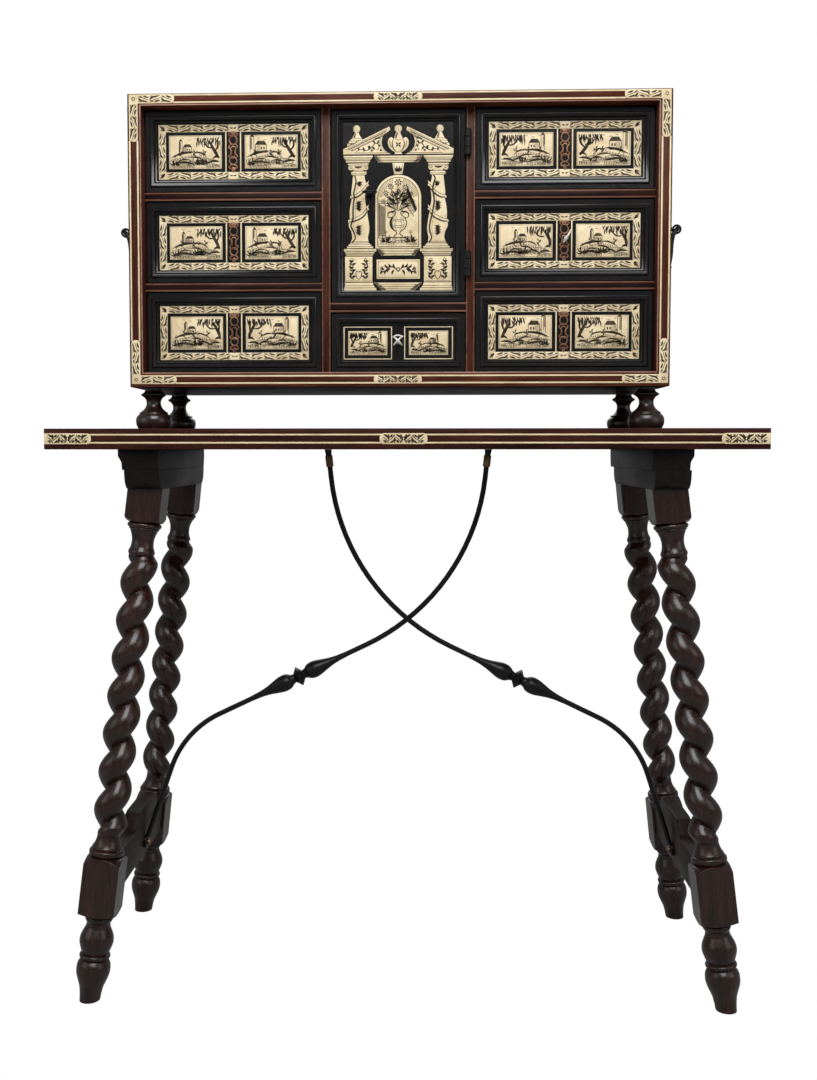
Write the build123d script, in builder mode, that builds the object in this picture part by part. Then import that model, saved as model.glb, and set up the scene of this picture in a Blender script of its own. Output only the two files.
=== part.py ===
from build123d import *
import os
from math import cos, pi, sin

# Vargueno: a bone-inlaid table cabinet of drawers round an architectural door, on a trestle
# stand with twisted legs and crossed iron stretchers. Millimetres. X runs along the front,
# +Y to the back, +Z up. The origin is on the floor, under the middle of the table top.

# ---------------------------------------------------------------- driving dimensions
# Table top and its inlaid front edge
table_width = 1000
table_depth = 400
table_thickness = 29
table_height = 828
table_line_drops = (8.6, 19.8)
edge_plaque_length = 67
edge_plaque_height = 15
line_width = 2.4
inlay_depth = 1.0

# Trestles
trestle_center_x = 2.5
batten_center_x = 374.1
batten_width = 57
batten_length = 354
batten_height = 29
batten_ogee = 4.5
batten_ogee_drop = 17.4
head_rail_width = 50
head_rail_height = 28
head_rail_length = 344
head_rail_ovolo = 15
leg_top_x = 373.1
leg_top_y = 126.4
leg_foot_x = 458.7
leg_foot_y = 165
head_block_width = 50
head_block_height = 48.5
head_block_over = 9
head_bead_radius = 24.3
head_bead_height = 688
head_neck_radius = 16
head_neck_height = 667
head_ridge_step = 3.3
head_ridge_height = 7
head_bead_half = 4
head_bead_ease = 2.5
twist_top = 650
twist_bottom = 241
strand_radius = 18.4
strand_offset = 6.9
strand_pitch = 54.8
strand_inward_height = 248
strand_sides = 8
steps_per_turn = 6
low_neck_radius = 15.8
low_bead_radius = 25
low_bead_bottom = 211.5
low_bead_height = 12
low_fillet_step = 3
low_fillet_height = 1.5
low_block_width = 52
low_block_bottom = 125.5
low_block_top = 210
block_shoulder = 5
turning_sides = 10
ankle_radius = 17.5
ankle_height = 26
foot_waist_radius = 19.5
turning_lap = 4
foot_bulb_radius = 24.4
upper_bulb_height = 89
lower_bulb_height = 45
foot_ring_radius = 22
foot_ring_height = 66
foot_ring_half = 4
foot_ring_flat = 1.5
foot_radius = 14.5
foot_sink = -5
cross_rail_width = 22
cross_rail_bottom = 155
cross_rail_shoulder = 217
cross_rail_crown = 243
cross_rail_crown_half = 48
cross_rail_lip_half = 84
cross_rail_inset = 4

# Iron stretchers
stretcher_radius = 4
rod_sides = 8
stretcher_center_x = 5
stretcher_pass_gap = 0.4
stretcher_top_spread = 124
stretcher_knee = (99.6, 572.5)
stretcher_knee_radius = 330
stretcher_elbow = (353.7, 355)
stretcher_elbow_radius = 150
stretcher_eye_height = 178
stretcher_eye_radius = 10
stretcher_eye_thickness = 5
bud_collar_spread = 170.9
bud_collar_radius = 15.7
bud_collar_half = 12
bud_neck_radius = 7.2
bud_radius = 12.8
bud_swell = 15
bud_length = 73
flare_radius = 5.4
flare_height = 9
sleeve_radius = 5.6
sleeve_length = 18
bolt_radius = 3
bolt_head_radius = 5
bolt_head_height = 4
bolt_grip = 16
bolt_clearance = 0.2
fitting_clearance = 0.15

# Cabinet carcass
cabinet_center_x = -8.5
cabinet_setback = 37
cabinet_width = 757
cabinet_height = 408
cabinet_depth = 252
side_thickness = 18.5
top_thickness = 16.5
bottom_thickness = 20.5
back_thickness = 12
front_recess = 20
foot_spread = 353.3
foot_setback_front = 35
foot_setback_rear = 36
foot_height = 59
foot_base_radius = 17.25
foot_edge_radius = 25.5
foot_edge_height = 15.5
foot_neck_radius = 9.35
foot_neck_height = 38.8
foot_collar_radius = 17.5
foot_collar_height = 49.6
foot_top_radius = 11
foot_sides = 12
partition_thickness = 12
rail_thickness = 11.5
center_rail_thickness = 13
row_height = 116
center_bay_width = 192
door_height = 272
side_line_insets = (3, 14)
top_line_insets = (2.3, 12.5)
bottom_line_insets = (5.5, 15.5)
bracket_reach = 67.5
bracket_width = 12.3
center_plaque_length = 67.5

# Drawers
side_gap = 0.5
seat_gap = 0.3
top_gap = 0.7
front_board_thickness = 14
moulding_width = 17.6
moulding_rise = 6
moulding_edge_rise = 3.6
moulding_cove = (6.3, 9.3)
moulding_arris_end = 10.5
moulding_groove = (11.2, 13.4)
moulding_groove_rise = 1.6
moulding_bead = (14.2, 16.4)
moulding_bead_rise = 3.4
tray_board_thickness = 8
tray_bottom_thickness = 5
tray_headroom = 10
tray_back_gap = 6
bone_depth = 0.8
border_width = 10.2
border_margin = 1.6
picture_width = 75
picture_height = 46.5
picture_spread = 54
divider_spread = 10.5
divider_width = 1.5
small_picture_width = 55.5
small_picture_height = 34
small_picture_spread = 43.2
small_frame_width = 69
small_frame_height = 46.5
small_frame_line = 1.6

# Locks and keys
keyhole_radius = 3
keyhole_slot_width = 2.6
keyhole_slot_drop = 8
lock_case_width = 44
lock_case_height = 34
lock_case_thickness = 9
lock_front_wall = 2
lock_cavity_width = 19
lock_cavity_depth = 5
escutcheon_thickness = 1.2
escutcheon_height = 60
escutcheon_width = 14.4
eyelet_radius = 3
key_stem_radius = 2.2
key_bow_width = 22
key_bow_depth = 13
key_bow_rim = 3
key_bow_thickness = 2.6
drawer_key_reach = 34
door_key_reach = 13
key_end_gap = 0.5
key_bit_drop = 7
key_bit_width = 3
key_bit_thickness = 2

# Door, hinges and side handles
door_side_gap = 0.7
door_board_thickness = 20
door_keyhole_x = -39.8
door_keyhole_height = 273
hinge_axis_spread = 97.7
hinge_axis_gap = 0.3
hinge_radius = 5
hinge_height = 34
hinge_pin_radius = 2
hinge_pin_clearance = 0.35
hinge_leaf_thickness = 1.2
hinge_leaf_depth = 16
hinge_knuckle_gap = 0.4
hinge_outer_knuckle = 10
hinge_heights = (172.5, 341.4)
handle_setback = 126
handle_pivot_height = 233
handle_pivot_standoff = 27
handle_half_span = 41.5
handle_rod_radius = 3.4
handle_grip_radius = 5.4
handle_grip_half = 22
handle_drop = 53
handle_corner_radius = 18
handle_ear_spread = 34
handle_end_spread = 28
handle_ear_radius = 7
handle_ear_width = 5
handle_ear_clearance = 0.6
handle_rose_radius = 12
handle_rose_thickness = 2

# Facade on the door, from its middle line and the cabinet's underside
facade_half_width = 75
facade_floor = 137.4
bone_gap = 1
plinth_overhang = 2
pedestal_inner = 37
pedestal_bottom = 149.5
pedestal_top = 185.3
pedestal_cornice_edge = 3
column_spread = 55.5
column_base = 197
column_radius = 10
column_neck = 302
column_base_rise = 10
column_base_spread = 3
capital_half_width = 14
capital_foot_rise = 4
entablature_bottom = 314
entablature_top = 326.6
niche_half_width = 32.6
niche_frame_width = 6.5
niche_sill = 196.5
niche_crown = 298.3
keystone_half_width = 8
pediment_foot = 328
pediment_peak = 365.4
pediment_break = 11.5
pediment_band = 7.5
pediment_fill_inner = 22
pediment_fill_outer = 66
pediment_fill_gap = 6
finial_top = 366.6
finial_ball_radius = 4.2
urn_height = 25
urn_foot_half = 5
urn_stem_half = 3
urn_stem_height = 4
urn_belly_half = 11.5
urn_belly_rise = 6
urn_belly_height = 7
urn_knob_radius = 5.5
pinnacle_spread = 61
pinnacle_top = 369
pinnacle_height = 30
pinnacle_foot_reach = 9
pinnacle_step_reach = 5.5
pinnacle_neck_half = 3
center_panel_half_width = 30.7
center_panel_bottom = 153.8
center_panel_top = 180.7

# ---------------------------------------------------------------- places worked out from them
table_under = table_height - table_thickness
table_front = -table_depth / 2
batten_under = table_under - batten_height
leg_top = batten_under - head_rail_height
cabinet_front = table_front + cabinet_setback
cabinet_rear = cabinet_front + cabinet_depth
cabinet_base = table_height + foot_height
cabinet_crown = cabinet_base + cabinet_height
cabinet_left = cabinet_center_x - cabinet_width / 2
cabinet_right = cabinet_center_x + cabinet_width / 2
bay_left = cabinet_left + side_thickness
bay_right = cabinet_right - side_thickness
bay_floor = cabinet_base + bottom_thickness
bay_ceiling = cabinet_crown - top_thickness
bay_rear = cabinet_rear - back_thickness
grid_front = cabinet_front + front_recess
field_front = grid_front + moulding_rise
board_rear = field_front + front_board_thickness
center_left = cabinet_center_x - center_bay_width / 2
center_right = cabinet_center_x + center_bay_width / 2
left_bay = (bay_left, center_left - partition_thickness)
right_bay = (center_right + partition_thickness, bay_right)
row_pitch = row_height + rail_thickness
door_floor = bay_ceiling - door_height
center_drawer_top = door_floor - center_rail_thickness
tray_rear = bay_rear - tray_back_gap
hinge_axis_x = cabinet_center_x + hinge_axis_spread
hinge_axis_y = grid_front - hinge_axis_gap - hinge_radius


# ---------------------------------------------------------------- helpers
def board(x0, x1, y0, y1, z0, z1):
    """A squared board between six coordinates."""
    with BuildPart() as piece:
        with Locations(((x0 + x1) / 2, (y0 + y1) / 2, (z0 + z1) / 2)):
            Box(x1 - x0, y1 - y0, z1 - z0)
    return piece.part


def facing_front(x, y, z):
    """A plane that faces the front: sketch X is X, sketch Y is Z, and its normal is -Y."""
    return Plane(origin=(x, y, z), x_dir=(1, 0, 0), z_dir=(0, -1, 0))


def arc_points(start, crest, end, bands):
    """Points that divide the arc through three points into equal bands."""
    arc = ThreePointArc(start, crest, end)
    return [((arc @ (band / bands)).X, (arc @ (band / bands)).Y) for band in range(bands + 1)]


def turning(plane, rings, sides):
    """A turning as a stack of flat-sided rings: (radius, distance along the plane's normal)."""
    with BuildPart() as turned:
        for radius, distance in rings:
            with BuildSketch(plane.offset(distance)):
                RegularPolygon(radius, sides)
        loft(ruled=True)
    return turned.part


def pocketed(piece, inlays):
    """The piece with a pocket for each inlay."""
    with BuildPart() as cut:
        add(piece)
        for inlay in inlays:
            add(inlay, mode=Mode.SUBTRACT)
    return cut.part


def write(label, pieces):
    """Write one node: its pieces stay separate solids in one STEP file."""
    node = pieces[0] if len(pieces) == 1 else Compound(children=pieces)
    node.label = label
    export_step(node, f"parts/{label}.step")


os.makedirs("parts", exist_ok=True)


# ---------------------------------------------------------------- table top
def blunt_plaque(x, y, z, length, height):
    """A bone plaque let into a front face, its corners cut off."""
    with BuildPart() as plaque:
        with BuildSketch(facing_front(x, y, z)) as outline:
            Rectangle(length, height)
            chamfer(outline.vertices(), height * 0.3)
        extrude(amount=-inlay_depth)
    return plaque.part


plaque_z = table_height - sum(table_line_drops) / 2
plaque_reach = (table_width - edge_plaque_length) / 2
edge_plaques = [
    blunt_plaque(side * plaque_reach, table_front, plaque_z, edge_plaque_length, edge_plaque_height)
    for side in (-1, 0, 1)
]
edge_lines = []
for drop in table_line_drops:
    for side in (-1, 1):
        near = side * edge_plaque_length / 2
        far = side * (table_width / 2 - edge_plaque_length)
        line_z = table_height - drop
        line = board(
            min(near, far) - inlay_depth,
            max(near, far) + inlay_depth,
            table_front,
            table_front + inlay_depth,
            line_z - line_width / 2,
            line_z + line_width / 2,
        )
        edge_lines.append(pocketed(line, edge_plaques))

table_slab = board(-table_width / 2, table_width / 2, table_front, -table_front, table_under, table_height)
write("table_top", [pocketed(table_slab, edge_plaques + edge_lines)])
write("table_inlay", edge_plaques + edge_lines)


# ---------------------------------------------------------------- trestles
def upper_batten(side):
    """The batten under one end of the table, with an ogee along its outer face and ends."""
    ogee = batten_ogee
    with BuildPart() as batten:
        with BuildSketch(Plane.XZ.offset(batten_length / 2)):
            with BuildLine():
                inner = side * (batten_center_x - batten_width / 2)
                outer = side * (batten_center_x + batten_width / 2)
                Polyline((outer - side * ogee, batten_under), (inner, batten_under), (inner, table_under))
                Polyline((inner, table_under), (outer, table_under), (outer, table_under - ogee))
                ThreePointArc(
                    (outer, table_under - ogee),
                    (outer - side * ogee, table_under - batten_ogee_drop),
                    (outer - side * ogee, batten_under),
                )
            make_face()
        extrude(amount=-batten_length)
        low_ends = batten.edges().filter_by(Axis.X).group_by(Axis.Z)[0]
        chamfer(low_ends, batten_ogee_drop, ogee)
    return batten.part


def head_rail(side):
    """The rail on top of a pair of legs, its ends rounded up from the head blocks."""
    half_top = head_rail_length / 2
    half_low = leg_top_y + head_block_width / 2
    reach = half_top - half_low
    with BuildPart() as rail:
        with BuildSketch(Plane.YZ.offset(trestle_center_x + side * leg_top_x)):
            with BuildLine():
                Line((-half_low, leg_top), (half_low, leg_top))
                Line((-half_top, batten_under), (half_top, batten_under))
                for end in (-1, 1):
                    ovolo = ThreePointArc(
                        (end * half_low, leg_top),
                        (end * (half_low + reach * 0.68), leg_top + head_rail_ovolo * 0.4),
                        (end * (half_top - 1), leg_top + head_rail_ovolo),
                    )
                    Line(ovolo @ 1, (end * half_top, batten_under))
            make_face()
        extrude(amount=head_rail_width / 2, both=True)
    return rail.part


def leg_plane(side, end):
    """The plane at a leg's foot, its normal along the leg, for one side and one end (-1 front)."""
    foot = Vector(trestle_center_x + side * leg_foot_x, end * leg_foot_y, 0)
    top = Vector(trestle_center_x + side * leg_top_x, end * leg_top_y, leg_top)
    axis = top - foot
    across = Vector(0, 1, 0).cross(axis)
    return Plane(origin=foot, x_dir=across, z_dir=axis)


leg_length = Vector(leg_foot_x - leg_top_x, leg_foot_y - leg_top_y, leg_top).length
leg_stretch = leg_length / leg_top


def foot_rings():
    """Rings of the turned foot: taper, lower bulb, ring and upper bulb, up into the low block."""
    taper_top = (ankle_radius, ankle_height)
    low_waist = (foot_waist_radius, foot_ring_height - foot_ring_half)
    high_waist = (foot_waist_radius, foot_ring_height + foot_ring_half)
    block_foot = low_block_bottom - 2 * turning_lap
    lower_bulb = arc_points(taper_top, (foot_bulb_radius, lower_bulb_height), low_waist, 3)
    upper_bulb = arc_points(high_waist, (foot_bulb_radius, upper_bulb_height), (ankle_radius, block_foot), 3)
    ring = [
        (foot_ring_radius, foot_ring_height - foot_ring_flat),
        (foot_ring_radius, foot_ring_height + foot_ring_flat),
    ]
    top = [(ankle_radius, low_block_bottom + turning_lap)]
    return [(foot_radius, foot_sink)] + lower_bulb + ring + upper_bulb + top


def low_neck_rings():
    """Rings of the bead and cavetto between the low block and the twist."""
    crest = low_bead_bottom + low_bead_height
    fillet_radius = low_bead_radius - low_fillet_step
    middle = (low_neck_radius + 1, (crest + twist_bottom) / 2 + 2)
    bead = [
        (low_bead_radius - 3, low_bead_bottom - turning_lap),
        (low_bead_radius - 1.5, low_bead_bottom),
        (low_bead_radius, low_bead_bottom + low_bead_height * 0.4),
        (low_bead_radius - 2, crest - 1),
        (fillet_radius, crest),
    ]
    return bead + [(fillet_radius - 1, crest + low_fillet_height), middle, (low_neck_radius, twist_bottom)]


def high_neck_rings():
    """Rings of the ridge, neck and bead between the twist and the head block."""
    return [
        (low_neck_radius, twist_top - turning_lap),
        (head_neck_radius + head_ridge_step, twist_top),
        (head_neck_radius, twist_top + head_ridge_height),
        (head_neck_radius, head_neck_height),
        (head_neck_radius + turning_lap / 2, head_neck_height + 2 * turning_lap),
        (head_bead_radius - head_bead_ease, head_bead_height - head_bead_half),
        (head_bead_radius, head_bead_height),
        (head_bead_radius - head_bead_ease, head_bead_height + head_bead_half),
        (head_bead_radius - turning_lap, leg_top - head_block_height + turning_lap),
    ]


def twist_sections():
    """Offset inward and sideways, radius and height of each section; it runs out at both ends."""
    rise = strand_pitch / steps_per_turn
    count = round((twist_top - twist_bottom) / rise)
    sections = []
    for step in range(count + 1):
        share = min(1, min(step, count - step) / 3)
        radius = low_neck_radius + (strand_radius - low_neck_radius) * share
        offset = strand_offset * share
        height = twist_bottom + (twist_top - twist_bottom) * step / count
        turn = 2 * pi * (height - strand_inward_height) / strand_pitch
        sections.append((offset * cos(turn), offset * sin(turn), radius, height))
    return sections


def along_leg(rings):
    """The rings with their heights above the floor turned into distances along the leg."""
    return [(radius, height * leg_stretch) for radius, height in rings]


def shouldered_block(foot, width, low, high, shoulder):
    """A square block along the leg, with its corners cut back at the shoulder end."""
    bottom = low * leg_stretch
    top = high * leg_stretch
    with BuildPart() as block:
        with BuildSketch(foot.offset(bottom)):
            Rectangle(width, width)
        extrude(amount=top - bottom)
        end_faces = block.faces().sort_by(Axis(foot.origin, foot.z_dir))
        end_face = end_faces[-1] if shoulder == "top" else end_faces[0]
        chamfer(end_face.edges(), block_shoulder)
    return block.part


def twisted_leg(side, end):
    """A splayed leg: head block, turned neck, one twisted strand, low block and turned foot.

    The strand winds as a right-handed screw where side and end agree, else left-handed.
    """
    foot = leg_plane(side, end)
    hand = 1 if side == end else -1
    low_block = shouldered_block(foot, low_block_width, low_block_bottom, low_block_top, "top")
    head_low = leg_top - head_block_height
    head_block = shouldered_block(foot, head_block_width, head_low, leg_top + head_block_over, "bottom")
    turnings = [
        turning(foot, along_leg(rings), turning_sides)
        for rings in (foot_rings(), low_neck_rings(), high_neck_rings())
    ]
    with BuildPart() as leg:
        for inward, sideways, radius, height in twist_sections():
            with BuildSketch(foot.offset(height * leg_stretch)):
                with Locations((-side * inward, -side * hand * sideways)):
                    RegularPolygon(radius, strand_sides)
        loft(ruled=True)
        add(turnings + [low_block, head_block])
        split(bisect_by=Plane.XY, keep=Keep.TOP)
        split(bisect_by=Plane.XY.offset(leg_top), keep=Keep.BOTTOM)
    return leg.part


def cross_rail_plane(side):
    """A plane on a cross rail's inner face: sketch X runs along Y, sketch Y up the trestle's lean."""
    lean = Vector(side * (leg_top_x - leg_foot_x), 0, leg_top)
    inward = lean.cross(Vector(0, side, 0)).normalized()
    middle = Vector(trestle_center_x + side * leg_foot_x, 0, 0)
    face = middle + inward * (low_block_width / 2 - cross_rail_inset)
    return Plane(origin=face, x_dir=(0, -side, 0), z_dir=inward)


def eye_plane(side):
    """The plane on a cross rail's inner face, centred where the stretcher is bolted to it."""
    face = cross_rail_plane(side)
    middle = face.from_local_coords((stretcher_plane_y(side) * -side, stretcher_eye_height * leg_stretch))
    return face.shift_origin(middle)


def stretcher_plane_y(side):
    """The depth of a stretcher: the one that ends on the right passes in front of the other."""
    return -side * (stretcher_radius + stretcher_pass_gap / 2)


def cross_rail(side):
    """The shaped rail between the low blocks of one trestle, humped in the middle."""
    with BuildPart() as blocks:
        for end in (-1, 1):
            with BuildSketch(leg_plane(side, end)):
                Rectangle(low_block_width, low_block_width)
            extrude(amount=cross_rail_crown * leg_stretch)
    bottom = cross_rail_bottom * leg_stretch
    shoulder = cross_rail_shoulder * leg_stretch
    crown = cross_rail_crown * leg_stretch
    with BuildPart() as rail:
        with BuildSketch(cross_rail_plane(side)):
            with BuildLine():
                outline = Polyline(
                    (-cross_rail_lip_half, shoulder),
                    (-leg_foot_y, shoulder),
                    (-leg_foot_y, bottom),
                    (leg_foot_y, bottom),
                    (leg_foot_y, shoulder),
                    (cross_rail_lip_half, shoulder),
                )
                Line((-cross_rail_crown_half, crown), (cross_rail_crown_half, crown))
                middle_x = (cross_rail_lip_half + cross_rail_crown_half) / 2
                for way, foot in ((1, outline @ 0), (-1, outline @ 1)):
                    middle = (-way * middle_x, (shoulder + crown) / 2)
                    scoop = TangentArc(foot, middle, tangent=(way, 0))
                    TangentArc(scoop @ 1, (-way * cross_rail_crown_half, crown), tangent=scoop % 1)
            make_face()
        extrude(amount=-cross_rail_width)
        with BuildSketch(eye_plane(side)):
            RegularPolygon(bolt_radius + bolt_clearance, rod_sides)
        extrude(amount=-bolt_grip, mode=Mode.SUBTRACT)
        add(blocks.part, mode=Mode.SUBTRACT)
    return rail.part


write("upper_battens", [upper_batten(side) for side in (-1, 1)])
write("head_rails", [head_rail(side) for side in (-1, 1)])
write("front_left_leg", [twisted_leg(-1, -1)])
write("rear_left_leg", [twisted_leg(-1, 1)])
write("front_right_leg", [twisted_leg(1, -1)])
write("rear_right_leg", [twisted_leg(1, 1)])
write("cross_rails", [cross_rail(side) for side in (-1, 1)])


# ---------------------------------------------------------------- iron stretchers
def stretcher_points(side):
    """The corners of a stretcher's path, from the table down to the cross rail on one side."""
    eye = eye_plane(side)
    end = eye.origin + eye.y_dir * eye_radius_reach() + eye.z_dir * (stretcher_radius + fitting_clearance)
    return (
        (stretcher_center_x - side * stretcher_top_spread, table_under),
        (stretcher_center_x - side * stretcher_knee[0], stretcher_knee[1]),
        (stretcher_center_x + side * stretcher_elbow[0], stretcher_elbow[1]),
        (end.X, end.Z),
    )


def eye_radius_reach():
    """How far up from its bolt a stretcher's rod runs into its eye."""
    return stretcher_eye_radius - 1


def top_plane(side):
    """The plane across a stretcher's top end, its normal pointing down along the rod."""
    top, knee = stretcher_points(side)[:2]
    down = Vector(knee[0] - top[0], 0, knee[1] - top[1])
    return Plane(origin=(top[0], stretcher_plane_y(side), top[1]), x_dir=(0, 1, 0), z_dir=down)


def stretcher(side):
    """A forged stretcher: flared top, bent rod with two opposed buds at a sharp collar, flat eye."""
    points = stretcher_points(side)
    y = stretcher_plane_y(side)
    run = Vector(points[2][0] - points[1][0], 0, points[2][1] - points[1][1]).normalized()
    share = (bud_collar_spread + stretcher_knee[0]) / (stretcher_elbow[0] + stretcher_knee[0])
    collar_x = points[1][0] + (points[2][0] - points[1][0]) * share
    collar_z = points[1][1] + (points[2][1] - points[1][1]) * share
    collar = Plane(origin=(collar_x, y, collar_z), x_dir=(0, 1, 0), z_dir=run)
    top = top_plane(side)
    bud_rings = [
        (bud_neck_radius, bud_collar_half),
        (bud_radius * 0.93, bud_collar_half + bud_swell * 0.4),
        (bud_radius, bud_collar_half + bud_swell),
        (bud_radius * 0.8, bud_collar_half + bud_swell * 2),
        (stretcher_radius * 1.3, bud_collar_half + bud_length * 0.75),
        (stretcher_radius * 1.1, bud_collar_half + bud_length),
    ]
    rings = [(radius, -distance) for radius, distance in bud_rings[::-1]]
    buds = turning(collar, rings + [(bud_collar_radius, 0)] + bud_rings, turning_sides)
    flare = turning(top, [(flare_radius, -2), (stretcher_radius * 1.1, flare_height)], turning_sides)
    with BuildPart() as rod:
        with BuildLine(Plane.XZ.offset(-y)):
            FilletPolyline(points, radius=(stretcher_knee_radius, stretcher_elbow_radius))
        with BuildSketch(top):
            RegularPolygon(stretcher_radius * 1.05, rod_sides)
        sweep()
        add([buds, flare])
        with BuildSketch(eye_plane(side)):
            RegularPolygon(stretcher_eye_radius, turning_sides)
        extrude(amount=stretcher_eye_thickness)
        with BuildSketch(eye_plane(side)):
            RegularPolygon(bolt_radius + bolt_clearance, rod_sides)
        extrude(amount=stretcher_eye_thickness, mode=Mode.SUBTRACT)
        split(bisect_by=Plane.XY.offset(table_under), keep=Keep.BOTTOM)
    return rod.part


def sleeve(side):
    """The brass sleeve round a stretcher under its flare."""
    with BuildPart() as tube:
        with BuildSketch(top_plane(side).offset(flare_height)):
            RegularPolygon(sleeve_radius, turning_sides)
            RegularPolygon(stretcher_radius * 1.05 + fitting_clearance, rod_sides, mode=Mode.SUBTRACT)
        extrude(amount=sleeve_length)
    return tube.part


def eye_bolt(side):
    """The bolt that holds a stretcher's eye on its cross rail."""
    with BuildPart() as bolt:
        with BuildSketch(eye_plane(side).offset(stretcher_eye_thickness)):
            RegularPolygon(bolt_head_radius, 6)
        extrude(amount=bolt_head_height)
        with BuildSketch(eye_plane(side).offset(stretcher_eye_thickness)):
            RegularPolygon(bolt_radius, rod_sides)
        extrude(amount=-(stretcher_eye_thickness + bolt_grip))
    return bolt.part


write("left_stretcher", [stretcher(-1)])
write("right_stretcher", [stretcher(1)])
write("stretcher_fittings", [sleeve(-1), sleeve(1), eye_bolt(-1), eye_bolt(1)])


# ---------------------------------------------------------------- cabinet feet
def cabinet_foot(x, y):
    """A turned foot: a sharp-edged base, a slender neck and a sharp collar."""
    edge = (foot_edge_radius, foot_edge_height)
    neck = (foot_neck_radius, foot_neck_height)
    swell = arc_points((foot_base_radius, 0), (foot_edge_radius * 0.89, foot_edge_height * 0.45), edge, 2)
    scoop = arc_points(edge, (foot_neck_radius * 1.4, foot_neck_height * 0.74), neck, 3)
    collar = [(foot_collar_radius, foot_collar_height), (foot_top_radius, foot_height - 2)]
    rings = swell + scoop[1:] + collar + [(foot_top_radius, foot_height)]
    return turning(Plane(origin=(x, y, table_height)), rings, foot_sides)


foot_rows = (cabinet_front + foot_setback_front, cabinet_rear - foot_setback_rear)
foot_columns = (cabinet_center_x - foot_spread, cabinet_center_x + foot_spread)
write("cabinet_feet", [cabinet_foot(x, y) for x in foot_columns for y in foot_rows])


# ---------------------------------------------------------------- cabinet carcass and its inlay
def corner_bracket(side, level):
    """An L-shaped bone bracket at a front corner: side -1 left, 1 right; level -1 low, 1 high."""
    line_insets = top_line_insets if level > 0 else bottom_line_insets
    near_x = sum(side_line_insets) / 2 - bracket_width / 2
    near_z = sum(line_insets) / 2 - bracket_width / 2
    far_x = near_x + bracket_width
    far_z = near_z + bracket_width
    blunt = bracket_width * 0.3
    corner_x = cabinet_right if side > 0 else cabinet_left
    corner_z = cabinet_crown if level > 0 else cabinet_base
    outline = (
        (near_x, near_z),
        (bracket_reach - blunt, near_z),
        (bracket_reach, near_z + blunt),
        (bracket_reach, far_z - blunt),
        (bracket_reach - blunt, far_z),
        (far_x, far_z),
        (far_x, bracket_reach - blunt),
        (far_x - blunt, bracket_reach),
        (near_x + blunt, bracket_reach),
        (near_x, bracket_reach - blunt),
    )
    with BuildPart() as bracket:
        with BuildSketch(facing_front(corner_x, cabinet_front, corner_z)):
            Polygon(*[(-side * across, -level * down) for across, down in outline], align=None)
        extrude(amount=-inlay_depth)
    return bracket.part


def front_line(x0, x1, z0, z1):
    """A bone line in the carcass front, let in as deep as the brackets."""
    return board(x0, x1, cabinet_front, cabinet_front + inlay_depth, z0, z1)


brackets = [corner_bracket(side, level) for side in (-1, 1) for level in (-1, 1)]
for edge_z, way, insets in ((cabinet_base, 1, bottom_line_insets), (cabinet_crown, -1, top_line_insets)):
    plaque_height = edge_z + way * sum(insets) / 2
    brackets.append(
        blunt_plaque(cabinet_center_x, cabinet_front, plaque_height, center_plaque_length, bracket_width)
    )
half_line = line_width / 2
frame_lines = []
for inset in side_line_insets:
    for x in (cabinet_left + inset, cabinet_right - inset):
        low = cabinet_base + bracket_reach
        high = cabinet_crown - bracket_reach
        frame_lines.append(front_line(x - half_line, x + half_line, low, high))
level_lines = [cabinet_base + inset for inset in bottom_line_insets]
level_lines += [cabinet_crown - inset for inset in top_line_insets]
for z in level_lines:
    for side in (-1, 1):
        near = cabinet_center_x + side * center_plaque_length / 2
        far = cabinet_center_x + side * (cabinet_width / 2 - bracket_reach)
        frame_lines.append(front_line(min(near, far), max(near, far), z - half_line, z + half_line))
front_inlays = brackets + frame_lines

top_board = board(cabinet_left, cabinet_right, cabinet_front, cabinet_rear, bay_ceiling, cabinet_crown)
bottom_board = board(cabinet_left, cabinet_right, cabinet_front, cabinet_rear, cabinet_base, bay_floor)
left_board = board(cabinet_left, bay_left, cabinet_front, cabinet_rear, bay_floor, bay_ceiling)
right_board = board(bay_right, cabinet_right, cabinet_front, cabinet_rear, bay_floor, bay_ceiling)
write("cabinet_top", [pocketed(top_board, front_inlays)])
write("cabinet_bottom", [pocketed(bottom_board, front_inlays)])
write("cabinet_sides", [pocketed(left_board, front_inlays), pocketed(right_board, front_inlays)])
write("cabinet_back", [board(bay_left, bay_right, bay_rear, cabinet_rear, bay_floor, bay_ceiling)])
write("cabinet_brackets", brackets)
write("cabinet_bone_lines", frame_lines)


# ---------------------------------------------------------------- hinges
def hinge_plane(z):
    """The level plane through a hinge's axis at height z."""
    return Plane.XY.offset(z).shift_origin((hinge_axis_x, hinge_axis_y, z))


def hinge_levels():
    """The bottom of each hinge barrel."""
    return [cabinet_base + height - hinge_height / 2 for height in hinge_heights]


def hinge_leaf(x0, x1, z):
    """A hinge's plate, from just inside the barrel back along the edge that it is let into."""
    return board(x0, x1, grid_front + moulding_rise, grid_front + hinge_leaf_depth, z, z + hinge_height)


def knuckle_neck(x0, x1, z0, z1):
    """The tongue that carries a knuckle forward from its leaf."""
    return board(x0, x1, hinge_axis_y + hinge_pin_radius, grid_front + moulding_rise, z0, z1)


stile_left = center_right
door_right = center_right - door_side_gap
stile_leaf_x = (stile_left, stile_left + hinge_leaf_thickness)
door_leaf_x = (door_right - hinge_leaf_thickness, door_right)


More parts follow.
